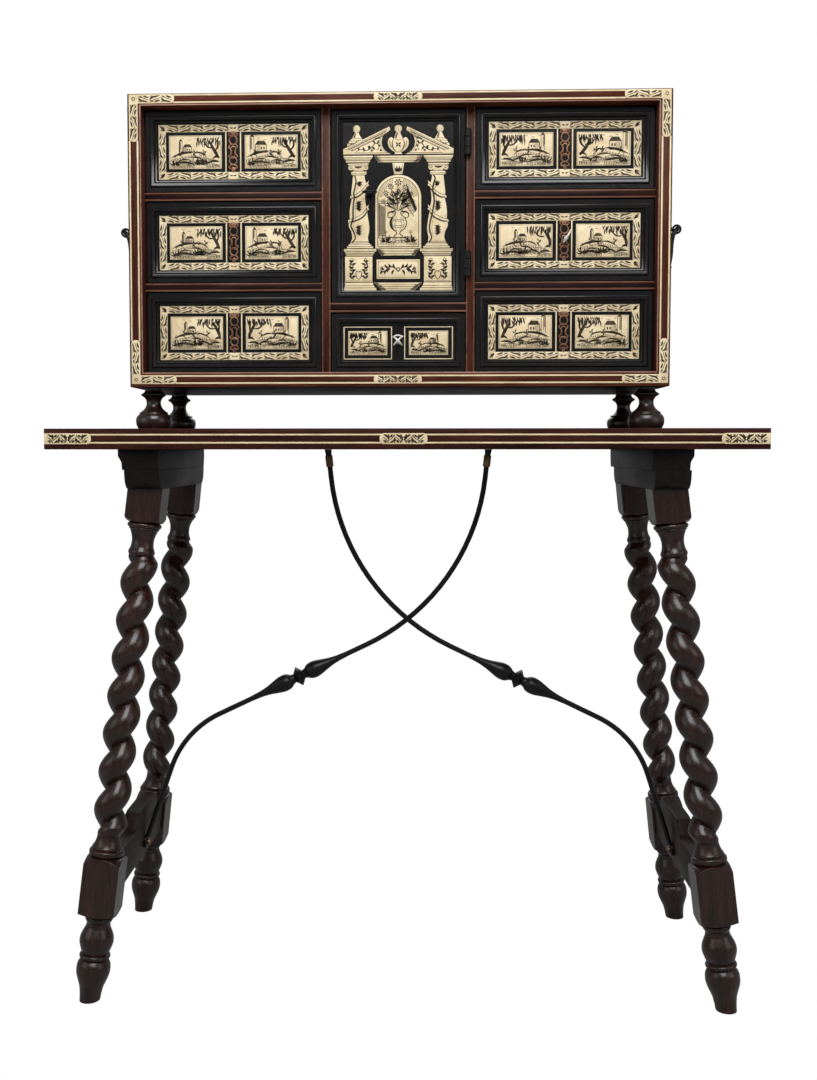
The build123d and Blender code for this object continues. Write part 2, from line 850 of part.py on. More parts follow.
def stile_hinge(z):
    """The fixed half of a hinge: leaf, lower and upper knuckle, and the pin they hold."""
    top_z = z + hinge_height - hinge_outer_knuckle
    leaf = hinge_leaf(*stile_leaf_x, z)
    necks = [knuckle_neck(*stile_leaf_x, start, start + hinge_outer_knuckle) for start in (z, top_z)]
    with BuildPart() as hinge:
        for start in (z, top_z):
            with BuildSketch(hinge_plane(start)):
                RegularPolygon(hinge_radius, turning_sides)
            extrude(amount=hinge_outer_knuckle)
        with BuildSketch(hinge_plane(z + hinge_outer_knuckle)):
            RegularPolygon(hinge_pin_radius, rod_sides)
        extrude(amount=hinge_height - 2 * hinge_outer_knuckle)
        add([leaf] + necks)
    return hinge.part


def door_hinge(z):
    """The moving half of a hinge: leaf and middle knuckle, bored for the pin."""
    start = z + hinge_outer_knuckle + hinge_knuckle_gap
    height = hinge_height - 2 * (hinge_outer_knuckle + hinge_knuckle_gap)
    leaf = hinge_leaf(*door_leaf_x, z)
    neck = knuckle_neck(*door_leaf_x, start, start + height)
    with BuildPart() as hinge:
        add([leaf, neck])
        with BuildSketch(hinge_plane(start)):
            RegularPolygon(hinge_radius, turning_sides)
        extrude(amount=height)
        with BuildSketch(hinge_plane(start)):
            RegularPolygon(hinge_pin_radius + hinge_pin_clearance, turning_sides)
        extrude(amount=height, mode=Mode.SUBTRACT)
    return hinge.part


stile_hinges = [stile_hinge(z) for z in hinge_levels()]
door_hinges = [door_hinge(z) for z in hinge_levels()]


# ---------------------------------------------------------------- partitions and rails
partitions = [
    board(left_bay[1], center_left, grid_front, bay_rear, bay_floor, bay_ceiling),
    board(center_right, right_bay[0], grid_front, bay_rear, bay_floor, bay_ceiling),
]
rails = [board(center_left, center_right, grid_front, bay_rear, center_drawer_top, door_floor)]
for bay in (left_bay, right_bay):
    for row in (1, 2):
        rail_top = bay_ceiling - row * row_pitch + rail_thickness
        rails.append(board(*bay, grid_front, bay_rear, rail_top - rail_thickness, rail_top))
write("partitions", [pocketed(partition, stile_hinges) for partition in partitions])
write("drawer_rails", rails)
write("fixed_hinge_leaves", stile_hinges)


# ---------------------------------------------------------------- mitred mouldings
def moulding_profile():
    """Half-section of the front moulding: sketch X inward from the outer edge, sketch Y forward."""
    face = Polyline(
        (0, 0),
        (0, moulding_edge_rise),
        (moulding_cove[0], moulding_edge_rise + 0.8),
    )
    cove = Line(face @ 1, (moulding_cove[1], moulding_rise))
    Polyline(
        cove @ 1,
        (moulding_arris_end, moulding_rise),
        (moulding_groove[0], moulding_groove_rise),
        (moulding_groove[1], moulding_groove_rise),
        (moulding_bead[0], moulding_bead_rise),
        (moulding_bead[1], moulding_bead_rise),
        (moulding_width, 0),
        (0, 0),
    )


def front_mouldings(x0, x1, z0, z1):
    """Four mitred mouldings that stand round a front's field."""
    middle = Vector((x0 + x1) / 2, field_front, (z0 + z1) / 2)
    width = x1 - x0
    height = z1 - z0
    pieces = []
    for along, length, reach in (
        (Vector(1, 0, 0), width, height / 2),
        (Vector(0, 0, 1), height, width / 2),
        (Vector(-1, 0, 0), width, height / 2),
        (Vector(0, 0, -1), height, width / 2),
    ):
        inward = Vector(0, -1, 0).cross(along)
        edge = middle - inward * reach
        with BuildPart() as moulding:
            with BuildSketch(Plane(origin=edge, x_dir=inward, z_dir=along)):
                with BuildLine():
                    moulding_profile()
                make_face()
            extrude(amount=length / 2, both=True)
            with BuildSketch(Plane(origin=edge, x_dir=along, z_dir=(0, -1, 0))):
                mitre = length / 2 - moulding_width
                Polygon(
                    (-length / 2, 0),
                    (length / 2, 0),
                    (mitre, moulding_width),
                    (-mitre, moulding_width),
                    align=None,
                )
            extrude(amount=moulding_rise, mode=Mode.INTERSECT)
        pieces.append(moulding.part)
    return pieces


# ---------------------------------------------------------------- locks and keys
def keyhole_sketch():
    """A keyhole: an eight-sided eye with a slot below it."""
    RegularPolygon(keyhole_radius, rod_sides)
    with Locations((0, -keyhole_slot_drop / 2)):
        Rectangle(keyhole_slot_width, keyhole_slot_drop)


def keyhole_bore(x, z):
    """The hole for a key through a front."""
    with BuildPart() as bore:
        with BuildSketch(facing_front(x, board_rear, z)):
            keyhole_sketch()
        extrude(amount=front_board_thickness)
    return bore.part


def shut_lock_case(x, z, rear):
    """A lock's case behind a front, with no key in it."""
    half_width = lock_case_width / 2
    half_height = lock_case_height / 2
    case_rear = rear + lock_case_thickness
    return board(x - half_width, x + half_width, rear, case_rear, z - half_height, z + half_height)


def keyed_lock_case(x, z, rear):
    """A lock's case behind a front, hollow where the key's bit turns."""
    with BuildPart() as case:
        with BuildSketch(facing_front(x, rear + lock_case_thickness, z)):
            Rectangle(lock_case_width, lock_case_height)
        extrude(amount=lock_case_thickness)
        with BuildSketch(facing_front(x, rear + lock_front_wall + lock_cavity_depth, z)):
            Rectangle(lock_cavity_width, lock_cavity_width)
        extrude(amount=lock_cavity_depth, mode=Mode.SUBTRACT)
        with BuildSketch(facing_front(x, rear + lock_front_wall, z)):
            keyhole_sketch()
        extrude(amount=lock_front_wall, mode=Mode.SUBTRACT)
    return case.part


def pierced_escutcheon(x, z):
    """A cast escutcheon: crown, upper eyelet, winged keyhole body, lower eyelet and leaf."""
    half = escutcheon_width / 2
    tip = escutcheon_height / 2
    eyelet_height = tip * 0.52
    right_edge = (
        (0, tip),
        (half * 0.4, tip - 4),
        (half * 0.25, tip - 7),
        (half, eyelet_height),
        (half * 0.6, tip * 0.3),
        (half * 0.9, tip * 0.18),
        (half * 0.9, -tip * 0.25),
        (half * 0.55, -tip * 0.36),
        (half * 0.8, -tip * 0.56),
        (half * 0.25, -tip * 0.76),
        (half * 0.4, -tip * 0.87),
        (0, -tip),
    )
    left_edge = [(-across, up) for across, up in right_edge[-2:0:-1]]
    with BuildPart() as plate:
        with BuildSketch(facing_front(x, field_front, z)):
            Polygon(*right_edge, *left_edge, align=None)
            with Locations((0, eyelet_height), (0, -eyelet_height)):
                RegularPolygon(eyelet_radius, 4, rotation=45, mode=Mode.SUBTRACT)
        extrude(amount=escutcheon_thickness)
        with BuildSketch(facing_front(x, field_front, z)):
            keyhole_sketch()
        extrude(amount=escutcheon_thickness, mode=Mode.SUBTRACT)
    return plate.part


def key(x, z, rear, reach, turn):
    """A key in its lock: bit inside the case, round stem, flat oval bow turned by an angle."""
    tail = rear + lock_front_wall + lock_cavity_depth - key_end_gap
    bow_middle = field_front - reach
    across = Vector(1, 0, 0).rotate(Axis.Y, -turn)
    upward = Vector(0, -1, 0).cross(across)
    bit_rear = tail - key_end_gap
    with BuildPart() as whole:
        with BuildSketch(facing_front(x, tail, z)):
            RegularPolygon(key_stem_radius, rod_sides)
        extrude(amount=tail - bow_middle - key_bow_depth / 2 + key_bow_rim)
        with BuildSketch(Plane(origin=(x, bow_middle, z), x_dir=across, z_dir=upward)) as bow:
            Rectangle(key_bow_width, key_bow_depth)
            chamfer(bow.vertices(), key_bow_depth * 0.3)
            Rectangle(key_bow_width - 2.6 * key_bow_rim, key_bow_depth - 2 * key_bow_rim, mode=Mode.SUBTRACT)
        extrude(amount=key_bow_thickness / 2, both=True)
        with BuildSketch(Plane(origin=(x, bit_rear, z), x_dir=across, z_dir=(0, -1, 0))):
            with Locations((0, -key_bit_drop / 2)):
                Rectangle(key_bit_thickness, key_bit_drop)
        extrude(amount=key_bit_width)
    return whole.part


# ---------------------------------------------------------------- drawers
def tray(x0, x1, z0, z1):
    """A drawer's box behind its front: two sides, a back and a bottom."""
    rim = z1 - tray_headroom
    inner_left = x0 + tray_board_thickness
    inner_right = x1 - tray_board_thickness
    floor_top = z0 + tray_bottom_thickness
    inner_rear = tray_rear - tray_board_thickness
    return [
        board(x0, inner_left, board_rear, tray_rear, z0, rim),
        board(inner_right, x1, board_rear, tray_rear, z0, rim),
        board(inner_left, inner_right, board_rear, tray_rear, z0, floor_top),
        board(inner_left, inner_right, inner_rear, tray_rear, floor_top, rim),
    ]


def flat_bone(x, z, width, height):
    """A rectangular bone plate let flush into a front's field."""
    bone_rear = field_front + bone_depth
    return board(x - width / 2, x + width / 2, field_front, bone_rear, z - height / 2, z + height / 2)


def bone_border(x, z, width, height, band):
    """A rectangular bone band let flush into a front's field."""
    with BuildPart() as border:
        with BuildSketch(facing_front(x, field_front, z)):
            Rectangle(width, height)
            Rectangle(width - 2 * band, height - 2 * band, mode=Mode.SUBTRACT)
        extrude(amount=-bone_depth)
    return border.part


def side_drawer_inlay(x, z, width, height):
    """Border, two picture plaques and the two lines that fence off the escutcheon."""
    border_width_across = width - 2 * (moulding_width + border_margin)
    border_height = height - 2 * (moulding_width + border_margin)
    divider_height = border_height - 2 * border_width
    pieces = [bone_border(x, z, border_width_across, border_height, border_width)]
    for side in (-1, 1):
        pieces.append(flat_bone(x + side * picture_spread, z, picture_width, picture_height))
        pieces.append(flat_bone(x + side * divider_spread, z, divider_width, divider_height))
    return pieces


def center_drawer_inlay(x, z):
    """Two small picture plaques, each in its own fine line frame."""
    pieces = []
    for side in (-1, 1):
        middle = x + side * small_picture_spread
        pieces.append(flat_bone(middle, z, small_picture_width, small_picture_height))
        pieces.append(bone_border(middle, z, small_frame_width, small_frame_height, small_frame_line))
    return pieces


def write_drawer(name, bay, z0, z1, inlay, escutcheons, keyed):
    """Write a drawer's front with its mouldings, tray, inlay and lock."""
    lock_case = keyed_lock_case if keyed else shut_lock_case
    x0 = bay[0] + side_gap
    x1 = bay[1] - side_gap
    low = z0 + seat_gap
    high = z1 - top_gap
    middle_x = (x0 + x1) / 2
    middle_z = (low + high) / 2
    front = board(x0, x1, field_front, board_rear, low, high)
    cut_front = pocketed(front, inlay + [keyhole_bore(middle_x, middle_z)])
    write(f"{name}_front", [cut_front] + front_mouldings(x0, x1, low, high))
    write(f"{name}_tray", tray(x0, x1, low, high))
    write(f"{name}_inlay", inlay)
    write(f"{name}_lock", [lock_case(middle_x, middle_z, board_rear)] + escutcheons)


def drawer_middle(bay, z0, z1):
    """The middle of a drawer's front."""
    return (bay[0] + bay[1]) / 2, (z0 + seat_gap + z1 - top_gap) / 2


keyed_drawer = "right_middle_drawer"
row_names = ("top", "middle", "bottom")
for side_name, bay in (("left", left_bay), ("right", right_bay)):
    for row, row_name in enumerate(row_names):
        high = bay_ceiling - row * row_pitch
        low = high - row_height
        x, z = drawer_middle(bay, low, high)
        width = bay[1] - bay[0] - 2 * side_gap
        inlay = side_drawer_inlay(x, z, width, row_height - seat_gap - top_gap)
        name = f"{side_name}_{row_name}_drawer"
        write_drawer(name, bay, low, high, inlay, [pierced_escutcheon(x, z)], name == keyed_drawer)

center_bay = (center_left, center_right)
center_x, center_z = drawer_middle(center_bay, bay_floor, center_drawer_top)
center_inlay = center_drawer_inlay(center_x, center_z)
write_drawer("center_drawer", center_bay, bay_floor, center_drawer_top, center_inlay, [], True)

keyed_top = bay_ceiling - row_pitch
keyed_x, keyed_z = drawer_middle(right_bay, keyed_top - row_height, keyed_top)
write("right_drawer_key", [key(keyed_x, keyed_z, board_rear, drawer_key_reach, 60)])
write("center_drawer_key", [key(center_x, center_z, board_rear, drawer_key_reach, 0)])


# ---------------------------------------------------------------- door
door_left = center_left + door_side_gap
door_low = door_floor + seat_gap
door_high = bay_ceiling - top_gap
door_board_rear = field_front + door_board_thickness
keyhole_x = cabinet_center_x + door_keyhole_x
keyhole_z = cabinet_base + door_keyhole_height


def facade_piece(*points):
    """A flat bone piece laid on the door, its corners given off the middle line and the base."""
    with BuildPart() as piece:
        with BuildSketch(facing_front(cabinet_center_x, field_front, cabinet_base)):
            Polygon(*points, align=None)
        extrude(amount=bone_depth)
    return piece.part


def facade_disc(x, z, radius):
    """A round bone piece of the facade."""
    right = arc_points((x, z - radius), (x + radius, z), (x, z + radius), 5)
    left = arc_points((x, z + radius), (x - radius, z), (x, z - radius), 5)
    return facade_piece(*right[:-1], *left[:-1])


def niche_plate(inset):
    """A plate with a round head, as high and wide as the niche less an inset all round."""
    radius = niche_half_width - inset
    spring = niche_crown - niche_half_width
    sill = niche_sill + inset
    head = arc_points((radius, spring), (0, spring + radius), (-radius, spring), 12)
    return facade_piece((-radius, sill), (radius, sill), *head)


def column(side):
    """A swelling column on a moulded base, under a broad capital."""
    x = side * column_spread
    shaft_top = column_neck - 2 * bone_gap
    shaft_foot = column_base + column_base_rise + bone_gap
    middle = (shaft_top + shaft_foot) / 2
    foot_half = column_radius * 0.85
    neck_half = column_radius * 0.8
    right = arc_points((x + foot_half, shaft_foot), (x + column_radius, middle), (x + neck_half, shaft_top), 4)
    crown_left = (x - neck_half, shaft_top)
    left = arc_points(crown_left, (x - column_radius, middle), (x - foot_half, shaft_foot), 4)
    shaft = facade_piece(*right, *left)
    toe = column_radius + column_base_spread
    torus = column_radius + bone_gap
    step = column_base + column_base_rise / 2
    base_top = column_base + column_base_rise
    base = facade_piece(
        (x - toe, column_base),
        (x + toe, column_base),
        (x + torus, step),
        (x + column_radius, base_top),
        (x - column_radius, base_top),
        (x - torus, step),
    )
    capital_foot = column_neck - bone_gap
    capital_spread = column_neck + capital_foot_rise
    capital_top = entablature_bottom - bone_gap
    capital = facade_piece(
        (x - neck_half, capital_foot),
        (x + neck_half, capital_foot),
        (x + capital_half_width, capital_spread),
        (x + capital_half_width, capital_top),
        (x - capital_half_width, capital_top),
        (x - capital_half_width, capital_spread),
    )
    return [base, shaft, capital]


def facade_side(side):
    """The pieces of the facade on one side of its middle line."""
    inner = side * pedestal_inner
    outer = side * facade_half_width
    toe_inner = side * (pedestal_inner - plinth_overhang)
    toe_outer = side * (facade_half_width + plinth_overhang)
    face_inner = side * (pedestal_inner + plinth_overhang)
    face_outer = side * (facade_half_width - plinth_overhang)
    plinth_top = pedestal_bottom - bone_gap
    cornice_foot = pedestal_top + bone_gap
    cornice_top = column_base - bone_gap
    cornice_edge = cornice_top - pedestal_cornice_edge
    plinth = facade_piece(
        (toe_inner, facade_floor),
        (toe_outer, facade_floor),
        (outer, plinth_top),
        (inner, plinth_top),
    )
    die = facade_piece(
        (face_inner, pedestal_bottom),
        (face_outer, pedestal_bottom),
        (face_outer, pedestal_top),
        (face_inner, pedestal_top),
    )
    cornice = facade_piece(
        (inner, cornice_foot),
        (outer, cornice_foot),
        (toe_outer, cornice_edge),
        (toe_outer, cornice_top),
        (toe_inner, cornice_top),
        (toe_inner, cornice_edge),
    )
    entablature = facade_piece(
        (side * (pedestal_inner + bone_gap), entablature_bottom),
        (outer, entablature_bottom),
        (toe_outer, entablature_top),
        (side * (pedestal_inner - bone_gap), entablature_top),
    )
    return [plinth, die, cornice, entablature] + pediment_half(side) + pinnacle(side) + column(side)


def pediment_half(side):
    """One raking cornice of the broken pediment and the scrollwork that fills it."""
    foot_x = side * (facade_half_width + plinth_overhang)
    break_x = side * pediment_break
    band_foot = pediment_foot + pediment_band - plinth_overhang
    raking = facade_piece(
        (foot_x, pediment_foot),
        (foot_x, band_foot),
        (break_x, pediment_peak),
        (break_x, pediment_peak - pediment_band),
    )
    fill_crest = pediment_peak - pediment_band - pediment_fill_gap
    fill_waist = (pediment_foot + fill_crest) / 2
    fill = facade_piece(
        (side * pediment_fill_inner, pediment_foot),
        (side * pediment_fill_outer, pediment_foot),
        (side * (pediment_fill_inner - 3), fill_crest),
        (side * (pediment_fill_inner - 7), fill_crest - 1.5),
        (side * (pediment_fill_inner - 5), fill_waist),
    )
    return [raking, fill]


def pinnacle(side):
    """A ball on a tapering stand at one end of the pediment."""
    ball_height = pinnacle_top - finial_ball_radius
    stand_top = ball_height - finial_ball_radius - bone_gap
    foot_z = pinnacle_top - pinnacle_height
    step_z = foot_z + pinnacle_height / 3
    stand = facade_piece(
        (side * (pinnacle_spread + pinnacle_foot_reach), foot_z),
        (side * (pinnacle_spread + pinnacle_foot_reach), step_z - 3),
        (side * (pinnacle_spread + pinnacle_step_reach), step_z),
        (side * (pinnacle_spread + pinnacle_neck_half), stand_top),
        (side * (pinnacle_spread - pinnacle_neck_half), stand_top),
        (side * (pinnacle_spread - pinnacle_step_reach), step_z + 1),
    )
    return [stand, facade_disc(side * pinnacle_spread, ball_height, finial_ball_radius)]


def facade_middle():
    """The pieces on the middle line: base, panel, cornices, niche, keystone and urn."""
    frame_outer = niche_plate(0)
    picture = niche_plate(niche_frame_width)
    half = pedestal_inner - 2 * plinth_overhang
    plinth_top = pedestal_bottom - bone_gap
    cornice_foot = pedestal_top + bone_gap
    cornice_top = column_base - bone_gap
    key_foot = niche_crown + bone_gap
    key_top = entablature_bottom - bone_gap
    key_half = keystone_half_width * 0.65
    return [
        facade_piece(
            (-half, facade_floor),
            (half, facade_floor),
            (half - bone_gap, plinth_top),
            (bone_gap - half, plinth_top),
        ),
        facade_piece(
            (-center_panel_half_width, center_panel_bottom),
            (center_panel_half_width, center_panel_bottom),
            (center_panel_half_width, center_panel_top),
            (-center_panel_half_width, center_panel_top),
        ),
        facade_piece(
            (bone_gap - half, cornice_foot),
            (half - bone_gap, cornice_foot),
            (half, cornice_top - bone_gap / 2),
            (-half, cornice_top - bone_gap / 2),
        ),
        pocketed(frame_outer, [picture]),
        picture,
        facade_piece(
            (-key_half, key_foot),
            (key_half, key_foot),
            (keystone_half_width, key_top),
            (-keystone_half_width, key_top),
        ),
        facade_piece(
            (-half, entablature_bottom),
            (half, entablature_bottom),
            (half + bone_gap, entablature_top),
            (-half - bone_gap, entablature_top),
        ),
        urn(),
        facade_disc(0, finial_top - urn_knob_radius, urn_knob_radius),
    ]


def urn():
    """The urn that stands in the break of the pediment."""
    belly_low = pediment_foot + urn_stem_height + urn_belly_rise
    belly_high = belly_low + urn_belly_height
    neck = pediment_foot + urn_height
    right = [
        (urn_foot_half, pediment_foot),
        (urn_stem_half, pediment_foot + urn_stem_height),
        (urn_belly_half, belly_low),
        (urn_belly_half, belly_high),
        (urn_stem_half, neck),
    ]
    left = [(-across, up) for across, up in right[::-1]]
    return facade_piece(*right, *left)


facade = facade_side(-1) + facade_side(1) + facade_middle()
with BuildPart() as door_bore:
    with BuildSketch(facing_front(keyhole_x, door_board_rear, keyhole_z)):
        keyhole_sketch()
    extrude(amount=door_board_thickness)
door_board = board(door_left, door_right, field_front, door_board_rear, door_low, door_high)
door_mouldings = front_mouldings(door_left, door_right, door_low, door_high)
write("door_panel", [pocketed(door_board, door_hinges + [door_bore.part])])
write("door_moulding", [pocketed(moulding, door_hinges) for moulding in door_mouldings])
write("door_facade", facade)
write("door_irons", door_hinges + [keyed_lock_case(keyhole_x, keyhole_z, door_board_rear)])
write("door_key", [key(keyhole_x, keyhole_z, door_board_rear, door_key_reach, 0)])


# ---------------------------------------------------------------- side handles
def handle_pivot(side):
    """The middle of a bail's pivot line."""
    cabinet_side = cabinet_right if side > 0 else cabinet_left
    return Vector(
        cabinet_side + side * handle_pivot_standoff,
        cabinet_front + handle_setback,
        cabinet_base + handle_pivot_height,
    )


def handle_ear(side, end):
    """A rose on the cabinet's side with a lug bored for one end of the bail."""
    pivot = handle_pivot(side)
    y = pivot.Y + end * handle_ear_spread
    rose_x = pivot.X - side * handle_pivot_standoff
    with BuildPart() as ear:
        with BuildSketch(Plane(origin=(rose_x, y, pivot.Z), x_dir=(0, 1, 0), z_dir=(side, 0, 0))):
            RegularPolygon(handle_rose_radius, turning_sides)
        extrude(amount=handle_rose_thickness)
        with BuildSketch(Plane(origin=(pivot.X, y, pivot.Z), x_dir=(side, 0, 0), z_dir=(0, -side, 0))):
            Polygon(
                (-handle_pivot_standoff, -handle_ear_radius),
                (-handle_pivot_standoff, handle_ear_radius),
                (0, handle_ear_radius * 0.8),
                (0, -handle_ear_radius * 0.8),
                align=None,
            )
            RegularPolygon(handle_ear_radius, turning_sides)
            RegularPolygon(handle_rod_radius + handle_ear_clearance, turning_sides, mode=Mode.SUBTRACT)
        extrude(amount=handle_ear_width / 2, both=True)
    return ear.part


def bail(side):
    """A drop handle: its ends turn inward through the ears, its grip is thicker."""
    pivot = handle_pivot(side)
    hang = Plane(origin=pivot, x_dir=(0, 1, 0), z_dir=(1, 0, 0))
    low_arc = handle_half_span - handle_corner_radius
    turn = handle_corner_radius * (1 - cos(pi / 4))
    corner = arc_points(
        (handle_half_span, handle_corner_radius - handle_drop),
        (handle_half_span - turn, turn - handle_drop),
        (low_arc, -handle_drop),
        3,
    )
    right = [(handle_end_spread, 0), (handle_half_span, 0)] + corner
    left = [(-across, down) for across, down in right[::-1]]
    grip_rings = [
        (handle_rod_radius, -handle_grip_half),
        (handle_grip_radius, -handle_grip_half * 0.4),
        (handle_grip_radius, handle_grip_half * 0.4),
        (handle_rod_radius, handle_grip_half),
    ]
    grip = turning(Plane(origin=pivot - Vector(0, 0, handle_drop), z_dir=(0, 1, 0)), grip_rings, rod_sides)
    with BuildPart() as handle:
        with BuildLine(hang):
            Polyline(*right, *left)
        with BuildSketch(Plane(origin=pivot + Vector(0, handle_end_spread, 0), z_dir=(0, 1, 0))):
            RegularPolygon(handle_rod_radius, rod_sides)
        sweep(transition=Transition.RIGHT)
        add(grip)
    return handle.part


write("handle_plates", [handle_ear(side, end) for side in (-1, 1) for end in (-1, 1)])
write("left_handle", [bail(-1)])
write("right_handle", [bail(1)])
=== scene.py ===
import logging
import math
import random
from contextlib import contextmanager
from dataclasses import dataclass, field
from enum import Enum
from typing import Callable, Iterator, Optional, Sequence

import bpy
from mathutils import Matrix, Vector


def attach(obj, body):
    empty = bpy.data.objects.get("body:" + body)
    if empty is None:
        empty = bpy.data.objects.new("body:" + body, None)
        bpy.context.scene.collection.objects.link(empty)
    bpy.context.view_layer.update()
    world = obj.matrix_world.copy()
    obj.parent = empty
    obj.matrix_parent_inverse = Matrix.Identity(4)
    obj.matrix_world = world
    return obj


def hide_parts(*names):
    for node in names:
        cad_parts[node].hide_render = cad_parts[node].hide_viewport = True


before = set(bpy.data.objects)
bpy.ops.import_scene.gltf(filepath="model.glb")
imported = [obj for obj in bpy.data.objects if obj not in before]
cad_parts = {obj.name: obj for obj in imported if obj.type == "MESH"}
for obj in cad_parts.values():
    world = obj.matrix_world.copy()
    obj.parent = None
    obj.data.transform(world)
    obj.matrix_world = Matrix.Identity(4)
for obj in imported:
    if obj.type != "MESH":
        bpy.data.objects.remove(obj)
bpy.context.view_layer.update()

# A vargueno on its trestle stand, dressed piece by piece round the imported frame. Shapes are made in
# millimetres in the frame's axes, and each finished mesh is brought to metres when it is delivered.

LOG = logging.getLogger("vargueno")
MM = 0.001
CARCASS = "stand_and_carcass"
Colour = tuple[float, float, float]
Pair = tuple[float, float]
Path = Sequence[Sequence[float]]
Piece = bpy.types.Object
BOTH = (-1, 1)
ACROSS, DEEP = Vector((1, 0, 0)), Vector((0, 1, 0))

CENTER_X = -8.5
CABINET_FRONT = -163.0
CABINET_REAR = 89.0
CABINET_BASE = 887.0
CABINET_CROWN = 1295.0
CABINET_LEFT = -387.0
CABINET_RIGHT = 370.0
BAY_LEFT = -368.5
BAY_RIGHT = 351.5
BAY_FLOOR = 907.5
BAY_CEILING = 1278.5
BAY_REAR = 77.0
GRID_FRONT = -143.0
FIELD_FRONT = -137.0
PANEL_BACK = -123.0
BORE_SPAN = (-150.0, -100.0)
STILE = 12.0
CENTER_LEFT = -104.5
CENTER_RIGHT = 87.5
TABLE_TOP = 828.0
TABLE_UNDER = 799.0
TABLE_FRONT = -200.0
BONE_RISE = 0.25
INK_RISE = 0.06


# The bench: modelling helpers
def clear_bench() -> None:
    """Leave edit mode and deselect everything."""
    active = bpy.context.view_layer.objects.active
    if active is not None and active.mode != "OBJECT":
        bpy.ops.object.mode_set(mode="OBJECT")
    bpy.ops.object.select_all(action="DESELECT")


def take_up(piece: Piece) -> None:
    """Make one object the only selected and active one."""
    clear_bench()
    piece.select_set(True)
    bpy.context.view_layer.objects.active = piece


@contextmanager
def editing(piece: Piece, kind: str = "FACE", everything: bool = True) -> Iterator[None]:
    """Edit mode on one mesh.

    Args:
        piece: the object to edit.
        kind: VERT, EDGE or FACE.
        everything: select the whole mesh first; otherwise the selection stays as it is.
    """
    take_up(piece)
    bpy.ops.object.mode_set(mode="EDIT")
    bpy.ops.mesh.select_mode(type=kind)
    if everything:
        bpy.ops.mesh.select_all(action="SELECT")
    yield
    bpy.ops.object.mode_set(mode="OBJECT")


def modify(piece: Piece, kind: str, **settings: object) -> Piece:
    """Add one modifier, set it up and apply it."""
    take_up(piece)
    modifier = piece.modifiers.new(kind.title(), kind)
    for name, value in settings.items():
        setattr(modifier, name, value)
    bpy.ops.object.modifier_apply(modifier=modifier.name)
    return piece


def soften(piece: Piece, width: float, segments: int = 2, angle: float = 38) -> Piece:
    """Ease a piece's arrises."""
    return modify(piece, "BEVEL", width=width, segments=segments, limit_method="ANGLE",
                  angle_limit=math.radians(angle))


def tidy_shell(piece: Piece) -> Piece:
    """Merge doubled points and turn every face outwards."""
    with editing(piece, "VERT"):
        bpy.ops.mesh.remove_doubles(threshold=1e-3)
        bpy.ops.mesh.normals_make_consistent(inside=False)
    return piece


def joined(parts: Sequence[Piece]) -> Piece:
    """Join several meshes to the first of them."""
    take_up(parts[0])
    for part in parts[1:]:
        part.select_set(True)
    if len(parts) > 1:
        bpy.ops.object.join()
    return parts[0]


def sawn(piece: Piece, point: Sequence[float], side: Sequence[float], keep_side: bool = False) -> Piece:
    """Saw a piece through at a plane and close it.

    Args:
        piece: what is cut.
        point: a point of the plane.
        side: the plane's normal.
        keep_side: keep the half on the normal's side, not the other one.

    Returns:
        The half that is kept.
    """
    with editing(piece, "VERT"):
        bpy.ops.mesh.bisect(plane_co=point, plane_no=side, use_fill=True, clear_inner=keep_side,
                            clear_outer=not keep_side)
    return piece


def blank(points: Path, edges: Sequence = (), faces: Sequence = ()) -> Piece:
    """A new mesh object from points, edges and faces."""
    mesh = bpy.data.meshes.new("blank")
    mesh.from_pydata([tuple(point) for point in points], list(edges), list(faces))
    piece = bpy.data.objects.new("blank", mesh)
    bpy.context.scene.collection.objects.link(piece)
    return piece


def block(low: Sequence[float], high: Sequence[float], arris: float = 0.5) -> Piece:
    """A squared piece between two corners.

    Args:
        low: its lowest corner.
        high: its highest corner.
        arris: how far its edges are eased.

    Returns:
        The new object.
    """
    clear_bench()
    bpy.ops.mesh.primitive_cube_add(size=1, location=[(a + b) / 2 for a, b in zip(low, high)],
                                    scale=[b - a for a, b in zip(low, high)])
    piece = bpy.context.object
    bpy.ops.object.transform_apply(location=True, rotation=False, scale=True)
    return soften(piece, arris) if arris else piece


def cut_out(points: Path, push: Sequence[float], arris: float = 0.0) -> Piece:
    """A flat outline pushed to a thickness.

    Args:
        points: the outline's corners.
        push: how far and which way it is extruded.
        arris: how far its edges are eased.

    Returns:
        The new object.
    """
    piece = blank(points, faces=[range(len(points))])
    with editing(piece):
        bpy.ops.mesh.extrude_region_move(TRANSFORM_OT_translate={"value": tuple(push)})
        bpy.ops.mesh.select_all(action="SELECT")
        bpy.ops.mesh.normals_make_consistent(inside=False)
    return soften(piece, arris) if arris else piece


def carve(piece: Piece, cutter: Piece) -> Piece:
    """Cut one solid out of another and put the cutter away."""
    modify(piece, "BOOLEAN", operation="DIFFERENCE", object=cutter, solver="EXACT")
    bpy.data.objects.remove(cutter)
    return piece


def plate(outline: Sequence[Pair], y: float, depth: float = 1.0, arris: float = 0.2) -> Piece:
    """A thin plate on a front, from its outline in X and Z."""
    return cut_out([(x, y, z) for x, z in outline], (0, depth, 0), arris)


